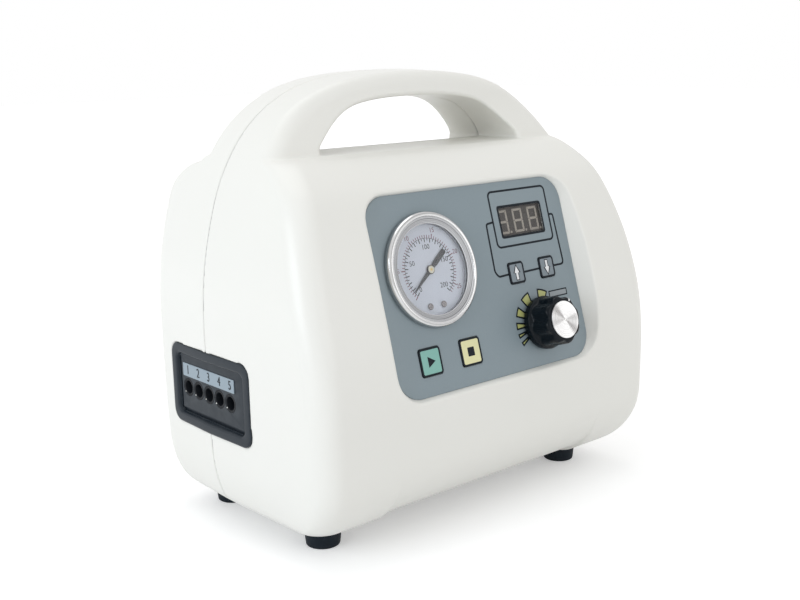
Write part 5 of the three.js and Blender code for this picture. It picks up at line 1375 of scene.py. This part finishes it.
# Feet
footLook = [(8.4, 0), (9.1, 0.12), (9.5, 0.5), (9.62, 1.1), (9.9, 3.2), (10.05, 4.6), (10.55, 10.4),
            (10.6, 11.0), (10.4, 11.5), (9.9, 11.7), (3.4, 11.7), (3.4, 17.3), (4.2, 17.3), (4.1, 18.2),
            (3.2, 19.6), (0.4, 20.3)]


def makeFeet():
    for name, (x, y) in feet["spots"].items():
        dress(build("rubber_foot_" + name, [turnedForm(footLook, 72, x, y)]), "foot_rubber", "foot_" + name)
    print("feet made")


# Rear: mains inlet, rocker switch and housing screws
flange = {"front": 64.1, "slab": (69.8, 26, 2, -3, 0, 0.5, 59.6, 42),
          "back": ((27.7, 38.1, 32), (91.5, 62.6, 52))}
well = {"left": 66.3, "right": 89.7, "low": 33.8, "high": 50.2, "depth": 16, "bevel": 4.5}
mainsPins = {
    "width": 2, "height": 4, "corner": 0.3, "rings": [(0, -17.5), (0, -7), (0.35, -6.2)],
    "spots": [(71, 40.4), (78, 43.8), (85, 40.4)],
}
rocker = {
    "x": 36, "y": 61.1, "z": 42, "half": 6.2, "reach": 7.4, "crown": 2.4, "depth": 6, "swing": 7,
    "axle": 1.2, "axleOut": 0.9, "shoulder": (0.8, 0.7),
    "sides": [(-6.2, 0.5), (-6.05, 0.2), (-5.7, 0), (5.7, 0), (6.05, 0.2), (6.2, 0.5)],
    "pocket": (13.6, 17.6, 0.8, 6), "rim": (17.4, 21.4, 1.6, 8), "groove": (16.6, 20.6, 1.2, 8),
    "bar": (0.7, 3.4, 0.2, 4, 0, 4.4), "ring": (1.7, 1.15), "ringAt": -4.2, "print": (-0.03, 0.05),
}
caseScrew = {
    "profile": [(1.9, -15), (1.9, 20.3), (3.6, 20.3), (3.75, 20.6), (3.55, 21.6), (2.75, 22.5), (1.55, 22.9)],
    "cross": (4.2, 0.75), "crossLevels": (21.3, 25.3),
}


def onRear(x, z, level):
    # Seen from behind: across runs towards the left side of the unit
    return world(x, flange["front"] + level, z)


def makeInlet():
    body = build("mains_inlet", [slabForm(*flange["slab"])], onRear)
    combine(body, build("back", [blockForm(*flange["back"])]), "UNION")
    left, right, low, high, bevel = (well[k] for k in ("left", "right", "low", "high", "bevel"))
    outline = [(left, low), (right, low), (right, high - bevel), (right - bevel, high), (left + bevel, high),
               (left, high - bevel)]
    cut(body, outline, -well["depth"], 2, onRear)
    pocket, rim, groove = (roundedOutline(*rocker[k], rocker["x"], rocker["z"])
                           for k in ("pocket", "rim", "groove"))
    cut(body, pocket, -22, 2, onRear)
    combine(body, build("line", [bandForm(rim, groove, -0.3, 1)], onRear))
    dress(crease(body, 30), "inlet_black", "power_inlet")
    blades, wide, tall = [], mainsPins["width"], mainsPins["height"]
    for x, z in mainsPins["spots"]:
        blades.append(loftForm([
            atLevel(roundedOutline(wide - inset * 2, tall - inset * 2, mainsPins["corner"], 4, x, z), out)
            for inset, out in mainsPins["rings"]]))
    dress(build("mains_pins", blades, onRear), "inlet_black", ink="small_steel")
    print("inlet made")


def rockerTop(z):
    return rocker["depth"] / 2 + rocker["crown"] * min(abs(z) / rocker["reach"], 1) ** 1.5


def onRocker(x, z, y):
    swing = math.radians(rocker["swing"])
    return world(rocker["x"] + x, rocker["y"] + y * math.cos(swing) - z * math.sin(swing),
                 rocker["z"] + y * math.sin(swing) + z * math.cos(swing))


def makeRocker():
    reach, depth = rocker["reach"], rocker["depth"]
    outline = [(reach * i / 12, rockerTop(reach * i / 12)) for i in range(-12, 13)]
    outward, down = rocker["shoulder"]
    shoulder = rockerTop(0) - depth * down
    outline += [(reach * outward, shoulder), (0, rockerTop(0) - depth), (-reach * outward, shoulder)]
    rings = [[(x, z * (1 - inset / reach), y - (inset if y > 0 else 0)) for z, y in outline]
             for x, inset in rocker["sides"]]
    key = build("switch_rocker", [loftForm(rings)], onRocker, 40)
    end = rocker["half"] + rocker["axleOut"]
    axle = [[(x, a, b) for a, b in circle(rocker["axle"], 24)] for x in (-end, end)]
    combine(key, build("axle", [loftForm(axle)], onRocker), "UNION")
    dress(crease(key, 40), "rocker_black", "power_rocker", body="rocker")
    low, high = rocker["print"]
    bar = prismForm(roundedOutline(*rocker["bar"]), low, high)
    ring = bandForm(*(circle(radius, 32, 0, rocker["ringAt"]) for radius in rocker["ring"]), low, high)
    marks = [([(x, z, rockerTop(z) + y) for x, z, y in points], faces) for points, faces in (bar, ring)]
    dress(build("switch_marks", marks, onRocker), "rocker_black", body="rocker", ink="ink_white")
    print("rocker made")


def makeScrews():
    for name, (x, z) in screws["spots"].items():
        screw = build("screw_" + name, [turnedForm(caseScrew["profile"], 48, x, z)], lengthways)
        for wide, tall in (caseScrew["cross"], caseScrew["cross"][::-1]):
            cut(screw, roundedOutline(wide, tall, 0.3, 3, x, z), *caseScrew["crossLevels"], lengthways)
        dress(crease(screw, 30), "small_steel", "housing_screw_" + name)
    print("screws made")


# Solids that keep their own shape: each takes the finish of its slot
nodeSlots = {entry["node"]: entry["material_slot"] for entry in frame["record"]["subparts"]}
for name, slotName in nodeSlots.items():
    nodes[name].data.materials.clear()
    nodes[name].data.materials.append(materials[slotName])
print("solids dressed:", len(nodeSlots))

makeHousing()
makeSeam()
makePanel()
makeKeys()
makeDisplay()
makeGauge()
makeKnob()
makeSide()
makeFeet()
makeInlet()
makeRocker()
makeScrews()

# Studio: pale floor, white surroundings and soft lamps
studio = {
    "floor": (0.86, 0.86, 0.86), "floorReach": 6000, "lift": (0.3, 0.62), "reach": (0.35, 1.2),
    "surround": 0.7,
    "lamps": {
        "key": {"place": (-1350, -60, 560), "aim": (0, 0, 120), "size": 800, "watts": 7.0,
                "colour": (0.86, 0.93, 1.0)},
        "front": {"place": (420, -1440, 620), "aim": (0, 0, 130), "size": 900, "watts": 2.9,
                  "colour": (1.0, 1.0, 1.0)},
        "top": {"place": (60, 250, 1500), "aim": (0, 0, 0), "size": 1000, "watts": 3.4,
                "colour": (1.0, 1.0, 1.0)},
    },
}


def seenDirectly(tree):
    # One for rays of the camera, and for those that mirrors and glass pass on
    rays = tree.nodes.new("ShaderNodeLightPath").outputs
    seen = addMath(tree, "MAXIMUM", rays["Is Camera Ray"], rays["Is Transmission Ray"])
    return addMath(tree, "MAXIMUM", seen, rays["Is Glossy Ray"])


def makeStudio():
    surround = bpy.data.worlds.new("surround")
    bpy.context.scene.world = surround
    surround.use_nodes = True
    tree = surround.node_tree
    back = tree.nodes["Background"].inputs
    back["Color"].default_value = (1, 1, 1, 1)
    feed(tree, addRange(tree, seenDirectly(tree), 0.0, 1.0, studio["surround"], 1.0), back["Strength"])

    # The floor's glow grows with distance, so that it keeps its shadow near the feet
    floorMaterial = bpy.data.materials.new("studio_floor")
    floorMaterial.use_nodes = True
    tree = floorMaterial.node_tree
    shader = tree.nodes["Principled BSDF"].inputs
    shader["Base Color"].default_value = (*studio["floor"], 1)
    shader["Roughness"].default_value = 0.9
    shader["Emission Color"].default_value = (1, 1, 1, 1)
    length = tree.nodes.new("ShaderNodeVectorMath")
    length.operation = "LENGTH"
    feed(tree, tree.nodes.new("ShaderNodeNewGeometry").outputs["Position"], length.inputs[0])
    glow = addRange(tree, length.outputs["Value"], *studio["reach"], *studio["lift"])
    feed(tree, addMath(tree, "MULTIPLY", seenDirectly(tree), glow), shader["Emission Strength"])
    reach = studio["floorReach"]
    floor = build("studio_floor", [(atLevel(box(-reach, reach, -reach, reach), 0), [(0, 1, 2, 3)])], local)
    floor.data.materials.append(floorMaterial)

    for name, lamp in studio["lamps"].items():
        data = bpy.data.lights.new(name, "AREA")
        data.energy = lamp["watts"]
        data.size = lamp["size"] * mm
        data.color = lamp["colour"]
        place, aim = Vector(lamp["place"]) * mm, Vector(lamp["aim"]) * mm
        turn = (aim - place).to_track_quat("-Z", "Y").to_matrix().to_4x4()
        addToScene(name, data).matrix_world = Matrix.Translation(place) @ turn


makeStudio()
bpy.context.scene.view_settings.view_transform = "Standard"
